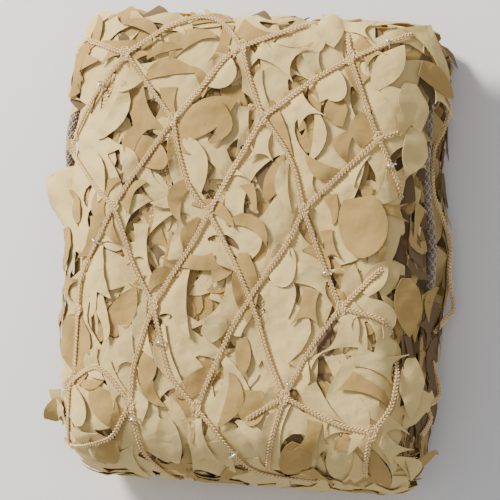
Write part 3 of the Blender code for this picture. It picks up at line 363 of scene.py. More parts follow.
class Bundle:
    """The folded cloth: carries flat places to their places in the bundle."""

    def __init__(self):
        pitch = (HEIGHT - LAYER) / (2 * FOLDS - 1)
        near = -LENGTH / 2 + BEND_REACH
        line, self.starts = [], []
        for fold in range(FOLDS):
            low = LAYER / 2 + fold * pitch
            high = HEIGHT - LAYER / 2 - fold * pitch
            far = LENGTH / 2 - TURN_REACH - FOLD_STAGGER * ((fold * 5) % 4)
            reach = BEND_REACH * (high - low) / (HEIGHT - LAYER)
            rising = fold % 2 == 0
            first, second = (low, high) if rising else (high, low)
            self.starts.append(len(line))
            line += [(far, first), (near, first)]
            line += self.half_turn(near, low, high, reach, -1, rising, BEND_STEPS)
            line += [(near, second), (far, second)]
            if fold < FOLDS - 1:
                after = second - pitch if rising else second + pitch
                line += self.half_turn(far, min(second, after), max(second, after), TURN_REACH, 1,
                                       not rising, TURN_STEPS)
        self.line = np.array(line)
        self.run = run_of(self.line)
        self.top_start, self.top_end = self.fold_run(0)[2:]
        lean = (math.tan(math.radians(LEAN_RIGHT)), -math.tan(math.radians(LEAN_NEAR)), 1)
        self.sight = Vector(lean).normalized()
        self.target = Vector((SHIFT - AIM_LEFT, SHIFT_FAR - AIM_NEAR, HEIGHT / 2))
        turned = Quaternion(self.sight, math.radians(TURN))
        self.rightward = turned @ Vector((0, 1, 0)).cross(self.sight).normalized()
        self.upward = self.sight.cross(self.rightward)

    @staticmethod
    def half_turn(y, low, high, reach, side, rising, steps):
        """A half-ellipse between two layers."""
        spots = []
        for step in range(1, steps):
            angle = math.pi * step / steps
            lift = -math.cos(angle) if rising else math.cos(angle)
            spots.append((y + side * reach * math.sin(angle), (low + high) / 2 + (high - low) / 2 * lift))
        return spots

    def fold_run(self, fold):
        """Lengths along the cloth where a fold's first layer, bend and second layer start and end."""
        start = self.starts[fold]
        second = start + 1 + BEND_STEPS
        return self.run[start], self.run[start + 1], self.run[second], self.run[second + 1]

    def profile(self, along):
        """(y, z) of the cloth's middle line."""
        along = np.clip(along, 0, self.run[-1])
        return np.interp(along, self.run, self.line[:, 0]), np.interp(along, self.run, self.line[:, 1])

    def middle(self, along, across):
        """Places of the cloth's middle surface, as an array of rows."""
        y, z = self.profile(along)
        top = ease((along - self.top_start) / TOP_EASE) * ease((self.top_end - along) / TOP_EASE)
        bulge = on_table(SIDE_OUT, y, -1)
        past = np.maximum(0.0, -across - (WIDTH / 2 - HEM_IN - DRAPE_RADIUS + bulge)) * top
        flare = sum(amount * np.exp(-((y - row_y(down, -1)) / spread) ** 2)
                    for down, spread, amount in DRAPE_FLARES)
        radius = DRAPE_RADIUS * (1 + flare)
        x = across + past
        reach = np.abs(x) - np.where(x < 0, bulge, 0.0)
        corner = np.minimum(np.maximum(0.0, reach - (WIDTH / 2 - CORNER)), CORNER * 0.98)
        y = y * (1 - (CORNER - np.sqrt(CORNER ** 2 - corner ** 2)) / (LENGTH / 2))
        side = np.maximum(0.0, (np.abs(x) - (WIDTH / 2 - SHOULDER)) / SHOULDER)
        end = np.maximum(0.0, (np.abs(y) - (LENGTH / 2 - SHOULDER)) / SHOULDER)
        swell = np.sin(2 * np.pi * (x / SWELL_ACROSS + 0.2)) * np.cos(2 * np.pi * y / SWELL_ALONG)
        ripple = np.sin(2 * np.pi * (x + 0.6 * y) / RIPPLE)
        rise = (1 - SINK * np.minimum(side, 1.1) ** 2 - END_SINK * np.minimum(end, 1.0) ** 2
                + WAVE * swell + 0.5 * WAVE * ripple)
        z = LAYER / 2 + (z - LAYER / 2) * rise
        y = y - x * SLANT
        angle = np.minimum(past / radius, 1.45)
        hang = past - angle * radius
        x = x - radius * np.sin(angle) - hang * np.cos(angle)
        z = z - radius * (1 - np.cos(angle)) - hang * np.sin(angle)
        return np.stack([x + SHIFT, y + SHIFT_FAR, z], axis=-1)

    def normal(self, along, across):
        """Directions that the cloth's face looks in."""
        step = 0.001
        run = self.middle(along + step, across) - self.middle(along - step, across)
        wide = self.middle(along, across + step) - self.middle(along, across - step)
        return unit(np.cross(wide, run))

    def place(self, along, across, height):
        """Places a height above the cloth's middle surface."""
        along, across = np.asarray(along, float), np.asarray(across, float)
        height = np.broadcast_to(np.asarray(height, float), along.shape)
        return self.middle(along, across) + self.normal(along, across) * height[..., None]

    def seen(self, place):
        """Where a place shows on the setting-out plane, in metres from its middle."""
        away = Vector(place) - self.target
        scale = STAND / (STAND - away.dot(self.sight))
        return np.array([away.dot(self.rightward) * scale, away.dot(self.upward) * scale])

    def spot(self, across_mark, down_mark):
        """Flat place on the outermost fold that shows at a mark of the grid."""
        goal = np.array([(across_mark - GRID_MIDDLE) * GRID, (GRID_MIDDLE - down_mark) * GRID])
        start = self.top_start + goal[1] + LENGTH / 2 - BEND_REACH
        flat = np.array([min(max(start, self.top_start - 0.05), self.top_end - 0.012), goal[0]])
        step = 0.0005
        low = (self.top_start - 0.11, -WIDTH / 2 - DRAPE)
        high = (self.top_end - 0.004, WIDTH / 2 - 0.006)
        best, found = 1.0, flat
        for _ in range(24):
            here = self.seen(self.middle(*flat))
            miss = np.linalg.norm(goal - here)
            if miss < best:
                best, found = miss, flat
            if miss < 1e-5:
                break
            slope = np.array([(self.seen(self.middle(flat[0] + step, flat[1])) - here) / step,
                              (self.seen(self.middle(flat[0], flat[1] + step)) - here) / step]).T
            if abs(np.linalg.det(slope)) < 0.05:
                break
            flat = flat + np.clip(np.linalg.solve(slope, goal - here), -0.02, 0.02)
            flat = np.clip(flat, low, high)
        return found


bundle = Bundle()


def set_back(y, level):
    """How far a layer stops short of the right side, at its share of the height."""
    slope = np.clip((level - SLOPE_FROM) / (1 - SLOPE_FROM), 0, 1)
    return on_table(SIDE_IN, y, 1) + on_table(SET_BACK, y, 1) * slope


def side_limit(along, side):
    """Even distance of a layer's edge from the middle: side -1 left, +1 right."""
    y, z = bundle.profile(along)
    outer = along < bundle.top_end + 0.004
    if side < 0:
        top = ease((along - bundle.top_start) / 0.05) * ease((bundle.top_end - along) / 0.05)
        notch = ease((abs(y - row_y(ROPE_NOTCH, -1)) - NOTCH_HALF) / NOTCH_EASE)
        drape = np.where(outer, (DRAPE + EDGE_IN) * top * notch - 0.003, 0.0)
        return WIDTH / 2 - EDGE_IN + on_table(SIDE_OUT, y, -1) + drape
    beside = ease((0.20 - abs(z / HEIGHT - ROPE_LEVEL)) / 0.05)
    past_end = np.maximum(y - row_y(ROPE_RIGHT[0][0], 1), row_y(ROPE_RIGHT[-1][0], 1) - y)
    groove = np.where(outer, 0.0, ROPE_GROOVE * beside * ease((0.082 - past_end) / 0.02))
    groove = groove + on_table(SIDE_IN, y, 1)
    near = NEAR_CORNER * ease((row_y(NEAR_ROW, 1) - y) / 0.04)
    return WIDTH / 2 - np.where(outer, 0.004, 0.002) - np.maximum(groove, set_back(y, z / HEIGHT)) - near


LIMIT_RUN = np.arange(0.0, bundle.run[-1], 0.002)
LIMITS = {side: side_limit(LIMIT_RUN, side) for side in (-1, 1)}


def limits(along, side):
    """side_limit for an array of lengths."""
    return np.interp(along, LIMIT_RUN, LIMITS[side])


# ---------------------------------------------------------------- flat outlines
def leaf_outline(kind, length, width, bend=0.0, points=13):
    """Closed outline of a leaf about its middle, as (forward, sideways) rows; bend in degrees."""
    share = 0.5 - 0.5 * np.cos(np.pi * np.arange(points) / (points - 1))
    if kind == "disc":
        right = left = 0.5 * width * np.sqrt(np.maximum(0.0, 1 - ((share - 0.44) / 0.56) ** 2))
    elif kind == "fin":
        right = 0.5 * width * (1 - 1.3 * share - 0.5 * np.sin(np.pi * share))
        left = 0.5 * width * (1.35 * np.sqrt(np.maximum(0.0, 1 - share ** 2)) - 0.35 + 0.65 * share)
    elif kind == "half":
        arc = np.sin(np.pi * (0.05 + 0.95 * share))
        right, left = -0.14 * width * arc, 0.72 * width * arc ** 0.8
    elif kind == "tail":
        right = left = 0.5 * width * (0.62 + 0.38 * share - 0.30 * np.sin(np.pi * share))
    else:
        right = left = 0.5 * width * np.sin(np.pi * (0.10 + 0.90 * share)) ** 0.9
    if kind == "tail":
        notch = np.linspace(-1, 1, 7)[1:-1]
        forward = np.concatenate([share, 1 - 0.24 * (1 - notch ** 2), share[::-1]]) * length
        sideways = np.concatenate([-right, notch * 0.5 * width, left[::-1]])
    else:
        forward = np.concatenate([share[:-1], share[::-1]]) * length
        sideways = np.concatenate([-right[:-1], left[::-1]])
    if kind == "leaf":
        sideways[points - 1] = 0.0
    if bend:
        curl = math.radians(bend) / length
        radius = 1 / curl - sideways
        sideways = 1 / curl - radius * np.cos(curl * (forward - length / 2))
        forward = radius * np.sin(curl * (forward - length / 2)) + length / 2
    return np.stack([forward - length / 2, sideways], axis=-1)


def any_leaf(chance):
    """A kind of leaf and its bend in degrees."""
    kind = chance.choice(("leaf", "half", "half", "half", "fin", "fin", "tail", "tail", "disc"))
    bend = chance.uniform(35, 80) if chance.random() < 0.3 else chance.uniform(0, 25)
    return kind, bend * chance.choice((-1, 1))


def to_flat(local, middle, turn):
    """Carries (forward, sideways) rows to the flat cloth; turn in degrees from ACROSS to ALONG."""
    turn = math.radians(turn)
    across = middle[1] + local[:, 0] * math.cos(turn) - local[:, 1] * math.sin(turn)
    along = middle[0] + local[:, 0] * math.sin(turn) + local[:, 1] * math.cos(turn)
    return np.stack([along, across], axis=-1)


def within(spots, outline):
    """Which flat spots lie inside a closed outline."""
    start, end = outline, np.roll(outline, -1, axis=0)
    found = np.zeros(len(spots), bool)
    low, high = outline.min(axis=0), outline.max(axis=0)
    near = np.all((spots > low) & (spots < high), axis=1)
    close = spots[near]
    odd = np.zeros(len(close), bool)
    for (ax, ay), (bx, by) in zip(start, end):
        if ay == by:
            continue
        hit = ((ay > close[:, 1]) != (by > close[:, 1]))
        hit &= close[:, 0] < (bx - ax) * (close[:, 1] - ay) / (by - ay) + ax
        odd ^= hit
    found[near] = odd
    return found


def distance(spots, start, end):
    """Distance of each flat spot from the nearest of many straight pieces."""
    run = end - start
    square = np.maximum(np.einsum("ij,ij->i", run, run), 1e-12)
    best = np.empty(len(spots))
    for first in range(0, len(spots), 128):
        away = spots[first:first + 128, None, :] - start[None]
        share = np.clip((away * run).sum(axis=-1) / square, 0, 1)
        gap = away - share[..., None] * run
        best[first:first + 128] = (gap * gap).sum(axis=-1).min(axis=1)
    return np.sqrt(best)


def flat_lines(strands, step=STRAND_STEP):
    """Strands as flat lines with even steps."""
    lines = []
    for strand in strands:
        marks = [KNOTS[stop] if isinstance(stop, str) else stop for stop in strand]
        stops = np.array([bundle.spot(*mark) for start, end in zip(marks, marks[1:])
                          for mark in between(start, end)] + [bundle.spot(*marks[-1])])
        for _ in range(2):
            stops[1:-1] = 0.25 * stops[:-2] + 0.5 * stops[1:-1] + 0.25 * stops[2:]
        run = run_of(stops)
        lines.append(at_run(np.linspace(0, run[-1], max(2, round(run[-1] / step))), run, stops))
    return lines


def between(start, end):
    """Marks from one stop up to the next, about 10 steps of the grid apart."""
    pieces = max(1, round(math.dist(start, end) / 10))
    return [(start[0] + (end[0] - start[0]) * piece / pieces, start[1] + (end[1] - start[1]) * piece / pieces)
            for piece in range(pieces)]


PRESS_REACH = 0.0055     # how far from its middle a cord presses the cloth down
NET_LINES = flat_lines(STRANDS)
NET_STARTS = np.concatenate([line[:-1] for line in NET_LINES])
NET_ENDS = np.concatenate([line[1:] for line in NET_LINES])


def press(spots):
    """1 under a cord of the net, 0 away from it."""
    return np.exp(-(distance(spots, NET_STARTS, NET_ENDS) / PRESS_REACH) ** 2)


def hummocks(spots, size, seed):
    """Slow unevenness between -1 and 1, from a few crossed waves."""
    chance = random.Random(seed)
    total = np.zeros(len(spots))
    for _ in range(5):
        turn = chance.uniform(0, math.pi)
        pitch = size * chance.uniform(0.7, 1.5)
        along = spots[:, 0] * math.cos(turn) + spots[:, 1] * math.sin(turn)
        total += np.sin(2 * np.pi * along / pitch + chance.uniform(0, 6.28))
    return total / 3.2


# ---------------------------------------------------------------- meshes
def flat_mesh(outlines, loose, keep):
    """Flat triangles over outlines and loose spots; keep(middles) says which triangles stay."""
    spots, edges = [], []
    for outline in outlines:
        first, count = len(spots), len(outline)
        spots += [Vector(spot) for spot in outline]
        edges += [(first + step, first + (step + 1) % count) for step in range(count)]
    spots += [Vector(spot) for spot in loose]
    flat, _, faces, _, _, _ = delaunay_2d_cdt(spots, edges, [], 0, 1e-6)
    flat = np.array([tuple(spot) for spot in flat])
    faces = np.array([tuple(face) for face in faces])
    faces = faces[keep(flat[faces].mean(axis=1))]
    used, faces = np.unique(faces, return_inverse=True)
    return flat[used], faces.reshape(-1, 3)[:, ::-1]


def honeycomb(low, high, step):
    """Staggered spots over a flat box."""
    rows = np.arange(low[0], high[0], step * 0.87)
    columns = np.arange(low[1], high[1], step)
    spots = [(row, column + step / 2 * (index % 2)) for index, row in enumerate(rows) for column in columns]
    return np.array(spots)


class Pile:
    """Gathers many small flat-mapped meshes into one."""

    def __init__(self):
        self.places, self.faces, self.tones, self.flats = [], [], [], []
        self.count = 0
        self.area = 0.0

    def add(self, places, faces, flat, tone=0):
        """Adds a mesh; tone is its material index."""
        self.add_faces(faces + self.count, tone)
        self.places.append(places)
        self.flats.append(flat)
        self.count += len(places)
        if len(faces[0]) == 3:
            corners = flat[faces]
            first, second = corners[:, 1] - corners[:, 0], corners[:, 2] - corners[:, 0]
            self.area += 0.5 * np.abs(first[:, 0] * second[:, 1] - first[:, 1] * second[:, 0]).sum()

    def add_faces(self, faces, tone=0):
        """Adds faces over places of the pile."""
        self.faces.append(faces)
        self.tones.append(np.full(len(faces), tone))

    def build(self, name, materials, thickness=0.0, smooth=40):
        """Makes the object; where it has a thickness, its back takes the next material."""
        mesh = bpy.data.meshes.new(name)
        places = np.concatenate(self.places)
        mesh.from_pydata(places.tolist(), [], [face.tolist() for part in self.faces for face in part])
        flats = np.concatenate(self.flats)
        layer = mesh.uv_layers.new(name="flat")
        corners = np.empty(len(mesh.loops), dtype=np.int32)
        mesh.loops.foreach_get("vertex_index", corners)
        layer.data.foreach_set("uv", flats[corners].astype(np.float32).ravel())
        for made in materials:
            mesh.materials.append(made)
        mesh.polygons.foreach_set("material_index", np.concatenate(self.tones).astype(np.int32))
        mesh.update()
        made = bpy.data.objects.new(name, mesh)
        bpy.context.scene.collection.objects.link(made)
        if thickness:
            wall = made.modifiers.new("thickness", "SOLIDIFY")
            wall.thickness = thickness
            wall.offset = 0
            wall.material_offset = 1
            apply_modifiers(made)
        made.data.shade_smooth()
        made.data.set_sharp_from_angle(angle=math.radians(smooth))
        return made


def apply_modifiers(made):
    """Bakes an object's modifiers into its mesh."""
    seen = made.evaluated_get(bpy.context.evaluated_depsgraph_get())
    mesh = bpy.data.meshes.new_from_object(seen)
    made.modifiers.clear()
    made.data = mesh


ODD_WAY = (0.31, 0.17, 0.94)  # a direction that no line of the bundle runs in


def around(angles, side, up):
    """For each place of a line, the directions at some angles from its side way to its up way."""
    return np.cos(angles)[None, :, None] * side[:, None] + np.sin(angles)[None, :, None] * up[:, None]


def sweep(pile, centre, radius, sides, tone=0):
    """A tube of even radius along a line of places, closed at its ends."""
    ahead = unit(np.gradient(centre, axis=0))
    side = unit(np.cross(ahead, ODD_WAY))
    up = np.cross(side, ahead)
    angles = 2 * np.pi * np.arange(sides) / sides
    places = (centre[:, None] + radius * around(angles, side, up)).reshape(-1, 3)
    index = np.arange(len(centre) * sides).reshape(len(centre), sides)
    following = np.roll(index, -1, axis=1)
    quads = np.stack([index[:-1], following[:-1], following[1:], index[1:]], axis=-1).reshape(-1, 4)
    flat = np.stack([np.repeat(np.arange(len(centre)) * 0.0005, sides),
                     np.tile(angles * 0.001, len(centre))], -1)
    pile.add(places, quads, flat, tone)
    fan = np.array([(step, (step + 1) % sides, sides) for step in range(sides)])
    for ring, tip in ((index[0][::-1], centre[:1]), (index[-1], centre[-1:])):
        pile.add(np.concatenate([places[ring], tip]), fan, np.zeros((sides + 1, 2)), tone)


# ---------------------------------------------------------------- shaders
class Wire:
    """A shader socket that takes part in arithmetic: an expression adds its Math nodes."""

    def __init__(self, tree, socket):
        self.tree, self.socket = tree, socket

    def math(self, operation, *values):
        """One Math node."""
        return node(self.tree, "ShaderNodeMath", {"operation": operation}, dict(enumerate(values)))

    def __add__(self, other):
        return self.math("ADD", self, other)

    def __mul__(self, other):
        return self.math("MULTIPLY", self, other)

    __radd__ = __add__
    __rmul__ = __mul__


def node(tree, kind, settings=None, inputs=None, output=0):
    """Adds a node: its settings first, then its sockets, by values or wires."""
    made = tree.nodes.new(kind)
    for name, value in (settings or {}).items():
        if name == "stops":
            ramp = made.color_ramp
            for index, (place, colour) in enumerate(value):
                stop = ramp.elements[index] if index < 2 else ramp.elements.new(place)
                stop.position = place
                stop.color = (*colour, 1)
        else:
            setattr(made, name, value)
    for name, value in (inputs or {}).items():
        if isinstance(value, Wire):
            tree.links.new(value.socket, made.inputs[name])
        else:
            made.inputs[name].default_value = value
    return Wire(tree, made.outputs[output])


def finish_material(name, roughness):
    """An empty Principled material: (material, tree, shader)."""
    made = bpy.data.materials.new(name)
    made.use_nodes = True
    shader = made.node_tree.nodes["Principled BSDF"]
    shader.inputs["Roughness"].default_value = roughness
    return made, made.node_tree, shader


def mixed(tree, factor, first, second):
    """Mix of two colours by a factor."""
    return node(tree, "ShaderNodeMix", {"data_type": "RGBA"}, {0: factor, 6: first, 7: second}, 2)


def noise(tree, scale, detail=2.0, distortion=0.0):
    """Noise over the places of the surface; scale in waves a metre."""
    where = node(tree, "ShaderNodeNewGeometry")
    return node(tree, "ShaderNodeTexNoise", {}, {"Vector": where, "Scale": scale, "Detail": detail,
                                                 "Distortion": distortion})


def spread(tree, value, low, high, low_out=0.0, high_out=1.0):
    """Carries a range of a value to another range."""
    return node(tree, "ShaderNodeMapRange", {}, {"Value": value, "From Min": low, "From Max": high,
                                                 "To Min": low_out, "To Max": high_out})


def paint(tree, shader, factor, shade, colour):
    """Base colour between a shade and a colour."""
    tree.links.new(mixed(tree, factor, (*shade, 1), (*colour, 1)).socket, shader.inputs["Base Color"])


def emboss(tree, shader, height, strength, distance):
    """Relief of the surface, too fine for its mesh."""
    bump = node(tree, "ShaderNodeBump", {}, {"Strength": strength, "Distance": distance, "Height": height})
    tree.links.new(bump.socket, shader.inputs["Normal"])


def woven_cloth(name, colour, shade):
    """Thin woven polyester: plain weave, faint slubs and slow changes of tone."""
    made, tree, shader = finish_material(name, 0.86)
    flat = node(tree, "ShaderNodeUVMap", {"uv_map": "flat"})
    warp, weft = (node(tree, "ShaderNodeTexWave", {"bands_direction": way},
                       {"Vector": flat, "Scale": 520.0, "Distortion": 1.2, "Detail": 1.0}) for way in "XY")
    weave = warp * 0.5 + weft * 0.5
    tone = noise(tree, 22.0, 3.0) * 0.7 + noise(tree, 900.0) * 0.2 + weave * 0.15
    paint(tree, shader, spread(tree, tone, 0.30, 0.78), shade, colour)
    crease, rumple = noise(tree, 58.0, 2.0, 0.6), noise(tree, 240.0)
    emboss(tree, shader, crease * 1.6 + rumple * 0.16 + weave * 0.05, 1.0, 0.001)
    shader.inputs["Specular IOR Level"].default_value = 0.2
    return made


def spun_yarn(name, colour, shade):
    """Dull yarn: fine filaments, painted darker in their hollows as shade, with slow random changes of tone.
    """
    made, tree, shader = finish_material(name, 0.82)
    fibre = noise(tree, 700.0, 3.0)
    # the fibre noise that raises the bump also lightens the colour, so its hollows take painted shade
    paint(tree, shader, spread(tree, fibre * 0.65 + noise(tree, 60.0) * 0.35, 0.36, 0.64), shade, colour)
    emboss(tree, shader, fibre, 0.5, 0.0004)
    shader.inputs["Specular IOR Level"].default_value = 0.3
    return made


def bright_wire(name):
    """Zinc-plated steel wire with faint drawing marks."""
    made, tree, shader = finish_material(name, 0.22)
    rough = spread(tree, noise(tree, 900.0), 0.3, 0.7, 0.16, 0.34)
    tree.links.new(rough.socket, shader.inputs["Roughness"])
    shader.inputs["Base Color"].default_value = (0.78, 0.79, 0.81, 1)
    shader.inputs["Metallic"].default_value = 1.0
    return made


# finishes: the function that makes one, the colour that it starts from, and the shares of that colour
# at the light and the dark end of its tone; in yarn the dark end is painted shade in the fibres' hollows
FINISHES = {
    "sand_cloth": (woven_cloth, "sand", 1.0, 0.90), "tan_cloth": (woven_cloth, "tan", 1.0, 0.88),
    # the third cloth finish is painted shade: a dark brown that stands for the shade deep in the folds and
    # cuts
    "inner_cloth": (woven_cloth, "inner", 1.0, 0.86), "net_cord": (spun_yarn, "cord", 1.0, 0.80),
    # the cord's core is a darker copy of the cord: painted shade between the stitches
    "net_cord_core": (spun_yarn, "cord", 0.62, 0.36), "rope_dark": (spun_yarn, "rope", 1.0, 0.5),
    "rope_pale": (spun_yarn, "rope", 1.8, 1.0),
}
TONES = ("sand", "tan", "inner")  # of the cloth, the last a dark brown that is painted shade for the depths of the folds and cuts: the back of a piece shows the next one
MADE = {}                # the finishes made so far


def finish(name):
    """A finish by its name, made once."""
    if name not in MADE:
        make, chosen, surface, dark_share = FINISHES[name]
        colour = getattr(bpy.context.scene.netting_colours, chosen)
        MADE[name] = make(name, [part * surface for part in colour], [part * dark_share for part in colour])
    return MADE[name]


def dress(made, slot, *solids):
    """Lets a piece ride on the bundle in place of solids, which it hides; slot is not used."""
    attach(made, "root")
    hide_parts(*solids)


# ---------------------------------------------------------------- cloth
def ragged_edge(side, start, end, lobe, depth, seed):
    """Edge of a cloth as a row of leaf tips, from one length along it to another."""
    chance = random.Random(seed)
    spots = []
    along = start
    while along < end - lobe * 0.6:
        length = min(lobe * chance.uniform(0.7, 1.3), end - along)
        dip = depth * chance.uniform(0.5, 1.0)
        lean = chance.uniform(0.5, 1.0)
        for step in range(6):
            share = step / 6
            limit = side_limit(along + share * length, side)
            spots.append((along + share * length, side * (limit - dip * (1 - share ** lean) ** 2)))
        along += length
    spots.append((end, side * (side_limit(end, side) - depth / 2)))
    return np.array(spots)


def ragged_end(end, first, last, lobe, depth, seed):
    """Far end of a cloth as a row of leaf tips, from its left edge to its right one."""
    chance = random.Random(seed)
    spots = []
    across = first + lobe * 0.3
    while across < last - lobe:
        wide, dip = lobe * chance.uniform(0.6, 1.1), depth * chance.uniform(0.3, 1.0)
        for share in (0.0, 0.2, 0.45, 0.75):
            spots.append((end - dip * (1 - share) ** 2, across + share * wide))
        across += wide
    return np.array(spots)


def cloth_piece(name, start, end, holes, height, tone, step, seed, lobe=0.040, depth=0.010, inset=0.0):
    """Makes a cut cloth between two lengths along the bundle; height(spots) gives its height."""
    left = ragged_edge(-1, start, end, lobe, depth, seed)
    right = ragged_edge(1, start, end, lobe, depth, seed + 1)
    left[:, 1] += inset
    right[:, 1] -= inset
    edge = np.concatenate([left, ragged_end(end, left[-1, 1], right[-1, 1], lobe, depth, seed), right[::-1]])
    loose = honeycomb(edge.min(axis=0), edge.max(axis=0), step)
    loose = loose[within(loose, edge)]
    rims = np.concatenate([edge] + holes) if holes else edge
    clear = np.ones(len(loose), bool)
    for first in range(0, len(loose), 2000):
        part = loose[first:first + 2000]
        gaps = np.abs(part[:, None, :] - rims[None, :, :])
        clear[first:first + 2000] = ~np.any((gaps[..., 0] < step / 2.5) & (gaps[..., 1] < step / 2.5), axis=1)
    loose = loose[clear]

    def keep(middles):
        stay = within(middles, edge)
        for hole in holes:
            stay &= ~within(middles, hole)
        return stay

    flat, faces = flat_mesh([edge] + holes, loose, keep)
    pile = Pile()
    pile.add(bundle.place(flat[:, 0], flat[:, 1], height(flat)), faces, flat, TONES.index(tone))
    made = pile.build(name, [finish(tone + "_cloth") for tone in TONES], SHEET)
    dress(made, "garnish", "garnish_cloth")
    size = (float(edge[:, 1].max() - edge[:, 1].min()), end - start)


def scattered_cuts(start, end, count, seed, size=(0.024, 0.040)):
    """Leaf-shaped holes strewn over a stretch of cloth, apart from each other."""
    chance = random.Random(seed)
    holes, middles = [], []
    for _ in range(count * 6):
        if len(holes) == count:
            break
        along = chance.uniform(start + 0.02, end - 0.02)
        left, right = (side_limit(along, side) - 0.016 for side in (-1, 1))
        middle = np.array([along, chance.uniform(-left, right)])
        length = chance.uniform(*size)
        if any(np.linalg.norm(middle - other) < (length + reach) * 0.46 for other, reach in middles):
            continue
        width = length * chance.uniform(0.45, 0.75)
        kind, bend = any_leaf(chance)
        outline = leaf_outline(kind, length, width, bend, 9)
        holes.append(to_flat(outline, middle, chance.uniform(0, 360)))
        middles.append((middle, length))
    return holes


def slits(cuts, seed):
    """Curved slits strewn over the plain parts of the face, apart from its other cuts."""
    chance = random.Random(seed)
    taken = [(cut.mean(axis=0), np.ptp(cut, axis=0).max() / 2) for cut in cuts]
    found = []
    for _ in range(SLITS.tries * 14):
        along = chance.uniform(bundle.top_start - 0.072, bundle.top_end - 0.018)
        across = chance.uniform(0.034 - side_limit(along, -1), side_limit(along, 1) - 0.014)
        middle, length = np.array([along, across]), chance.uniform(*SLITS.length)
        if len(found) < SLITS.tries and all(np.linalg.norm(middle - other) > reach * 0.95 + length * 0.45
                                            for other, reach in taken):
            outline = leaf_outline("leaf", length, length * chance.uniform(*SLITS.width),
                                   chance.uniform(55, 115) * chance.choice((-1, 1)), 9)
            found.append(to_flat(outline, middle, chance.gauss(SLITS.turn, SLITS.scatter)))
            taken.append((middle, length / 2))
    return found


def face_cuts():
    """Outlines of the face cloth's cuts: those of the table, slits, then strewn ones on the floor side."""
    cuts = [to_flat(leaf_outline(cut.outline, cut.length * GRID, cut.width * GRID, cut.bend),
                    bundle.spot(cut.across, cut.down), cut.turn) for cut in CUTS]
    cuts += slits(cuts, 15)
    return cuts, scattered_cuts(bundle.run[0], bundle.top_start - 0.075, 60, 11)


CUT_OUTLINES, FLOOR_CUTS = face_cuts()
CUT_MIDDLES = np.array([cut.mean(axis=0) for cut in CUT_OUTLINES])
CUT_REACH = np.array([np.linalg.norm(cut - cut.mean(axis=0), axis=1).max() for cut in CUT_OUTLINES])
RIM_STARTS = np.concatenate(CUT_OUTLINES)
RIM_ENDS = np.concatenate([np.roll(cut, -1, axis=0) for cut in CUT_OUTLINES])


def face_height(spots):
    """Height of the face cloth: pressed down by the cords, swollen between them, curled at its cuts."""
    swell = PUFF * (0.75 + 0.35 * hummocks(spots, 0.055, 3))
    for tall, length, seed in CREASES:
        swell = swell + tall * hummocks(spots, length, seed)
    rim = np.exp(-(distance(spots, RIM_STARTS, RIM_ENDS) / RIM_REACH) ** 1.5)
    swell = swell + rim * RIM_CURL * (0.35 + hummocks(spots, 0.030, 8))
    height = PRESSED + np.maximum(swell, 0.0) * (1 - press(spots))
    over = ease((spots[:, 1] - limits(spots[:, 0], 1) + HEM_STRIP) / HEM_STRIP)
    height = height - HEM_DROP * over * ease((bundle.top_end - 0.06 - spots[:, 0]) / 0.05)
    lift = ease((spots[:, 0] - (bundle.top_start - 0.11)) / 0.05)
    return UNDERSIDE + (height - UNDERSIDE) * lift


def leaf_mesh(pile, middle, turn, size, kind, bend, tone, heights, place=bundle.place, step=LEAF_STEP):
    """One leaf; heights(flat, share, edge) gives its heights from root to tip (share) and across (edge)."""
    length, width = size
    outline = leaf_outline(kind, length, width, bend, FACE_RIM if step == LEAF_STEP else SMALL_RIM)
    loose = honeycomb(outline.min(axis=0), outline.max(axis=0), step)
    loose = loose[within(loose, outline * 0.84)]
    local, faces = flat_mesh([outline], loose, lambda middles: within(middles, outline))
    share = np.clip(local[:, 0] / length + 0.5, 0, 1)
    edge = np.clip(local[:, 1] / (width / 2), -1.2, 1.2)
    flat = to_flat(local, middle, turn)
    places = place(flat[:, 0], flat[:, 1], heights(flat, share, edge))
    places[:, 2] = np.maximum(places[:, 2], 0.0005)
    pile.add(places, faces[:, ::-1], flat, TONES.index(tone))


def in_a_cut(spots, middle, reach):
    """Whether any of a leaf's spots lies over a cut of the face cloth."""
    near = np.flatnonzero(np.linalg.norm(CUT_MIDDLES - middle, axis=1) < CUT_REACH + reach)
    return any(within(spots, CUT_OUTLINES[index]).any() for index in near)


def above_face(root, tip, cup, twist=0.0):
    """Heights of a leaf that lies on the face cloth and is held down where a cord crosses it."""
    def heights(flat, share, edge):
        lift = root + (tip - root) * share ** 1.5 + twist * edge * share
        lift = lift + cup * edge ** 2 * (0.3 + 0.7 * share)
        lift = np.maximum(lift + LEAF_RUMPLE * hummocks(flat, 0.020, 14), 0.0) + LEAF_OFF
        under = press(flat)
        return face_height(flat) + lift * (1 - under) + np.minimum(lift, LEAF_PRESSED) * under
    return heights


def below_face(level, slope, cup, twist):
    """Heights of a leaf on one of the levels between the face cloth and the cloth under it."""
    def heights(flat, share, edge):
        depth = (face_height(flat) - ROOF_ROOM - SECOND - FLOOR_ROOM) / (LEVELS - 1)
        lift = slope * (share - 0.4) + cup * edge ** 2 + twist * edge * share
        return SECOND + FLOOR_ROOM + depth * np.clip(level + np.clip(lift, -0.22, 0.22), 0, LEVELS - 1)
    return heights


def side_middle(y, up):
    """Places on the right side's slope: y along the bundle, up in metres of height before it sinks."""
    level = np.clip(up / HEIGHT, 0.02, 0.985)
    limit = WIDTH / 2 - 0.003 - set_back(y, level) - NEAR_CORNER * ease((row_y(NEAR_ROW, 1) - y) / 0.04)
    corner = np.clip(np.abs(limit) - (WIDTH / 2 - CORNER), 0, CORNER * 0.98)
    squeeze = 1 - (CORNER - np.sqrt(CORNER ** 2 - corner ** 2)) / (LENGTH / 2)
    side = np.maximum(0.0, (limit - (WIDTH / 2 - SHOULDER)) / SHOULDER)
    end = np.clip((np.abs(y) - (LENGTH / 2 - SHOULDER)) / SHOULDER, 0, 1)
    return np.stack([limit + SHIFT, y * squeeze - limit * SLANT + SHIFT_FAR,
                     level * HEIGHT * (1 - SINK * side ** 2 - END_SINK * end ** 2)], axis=-1)


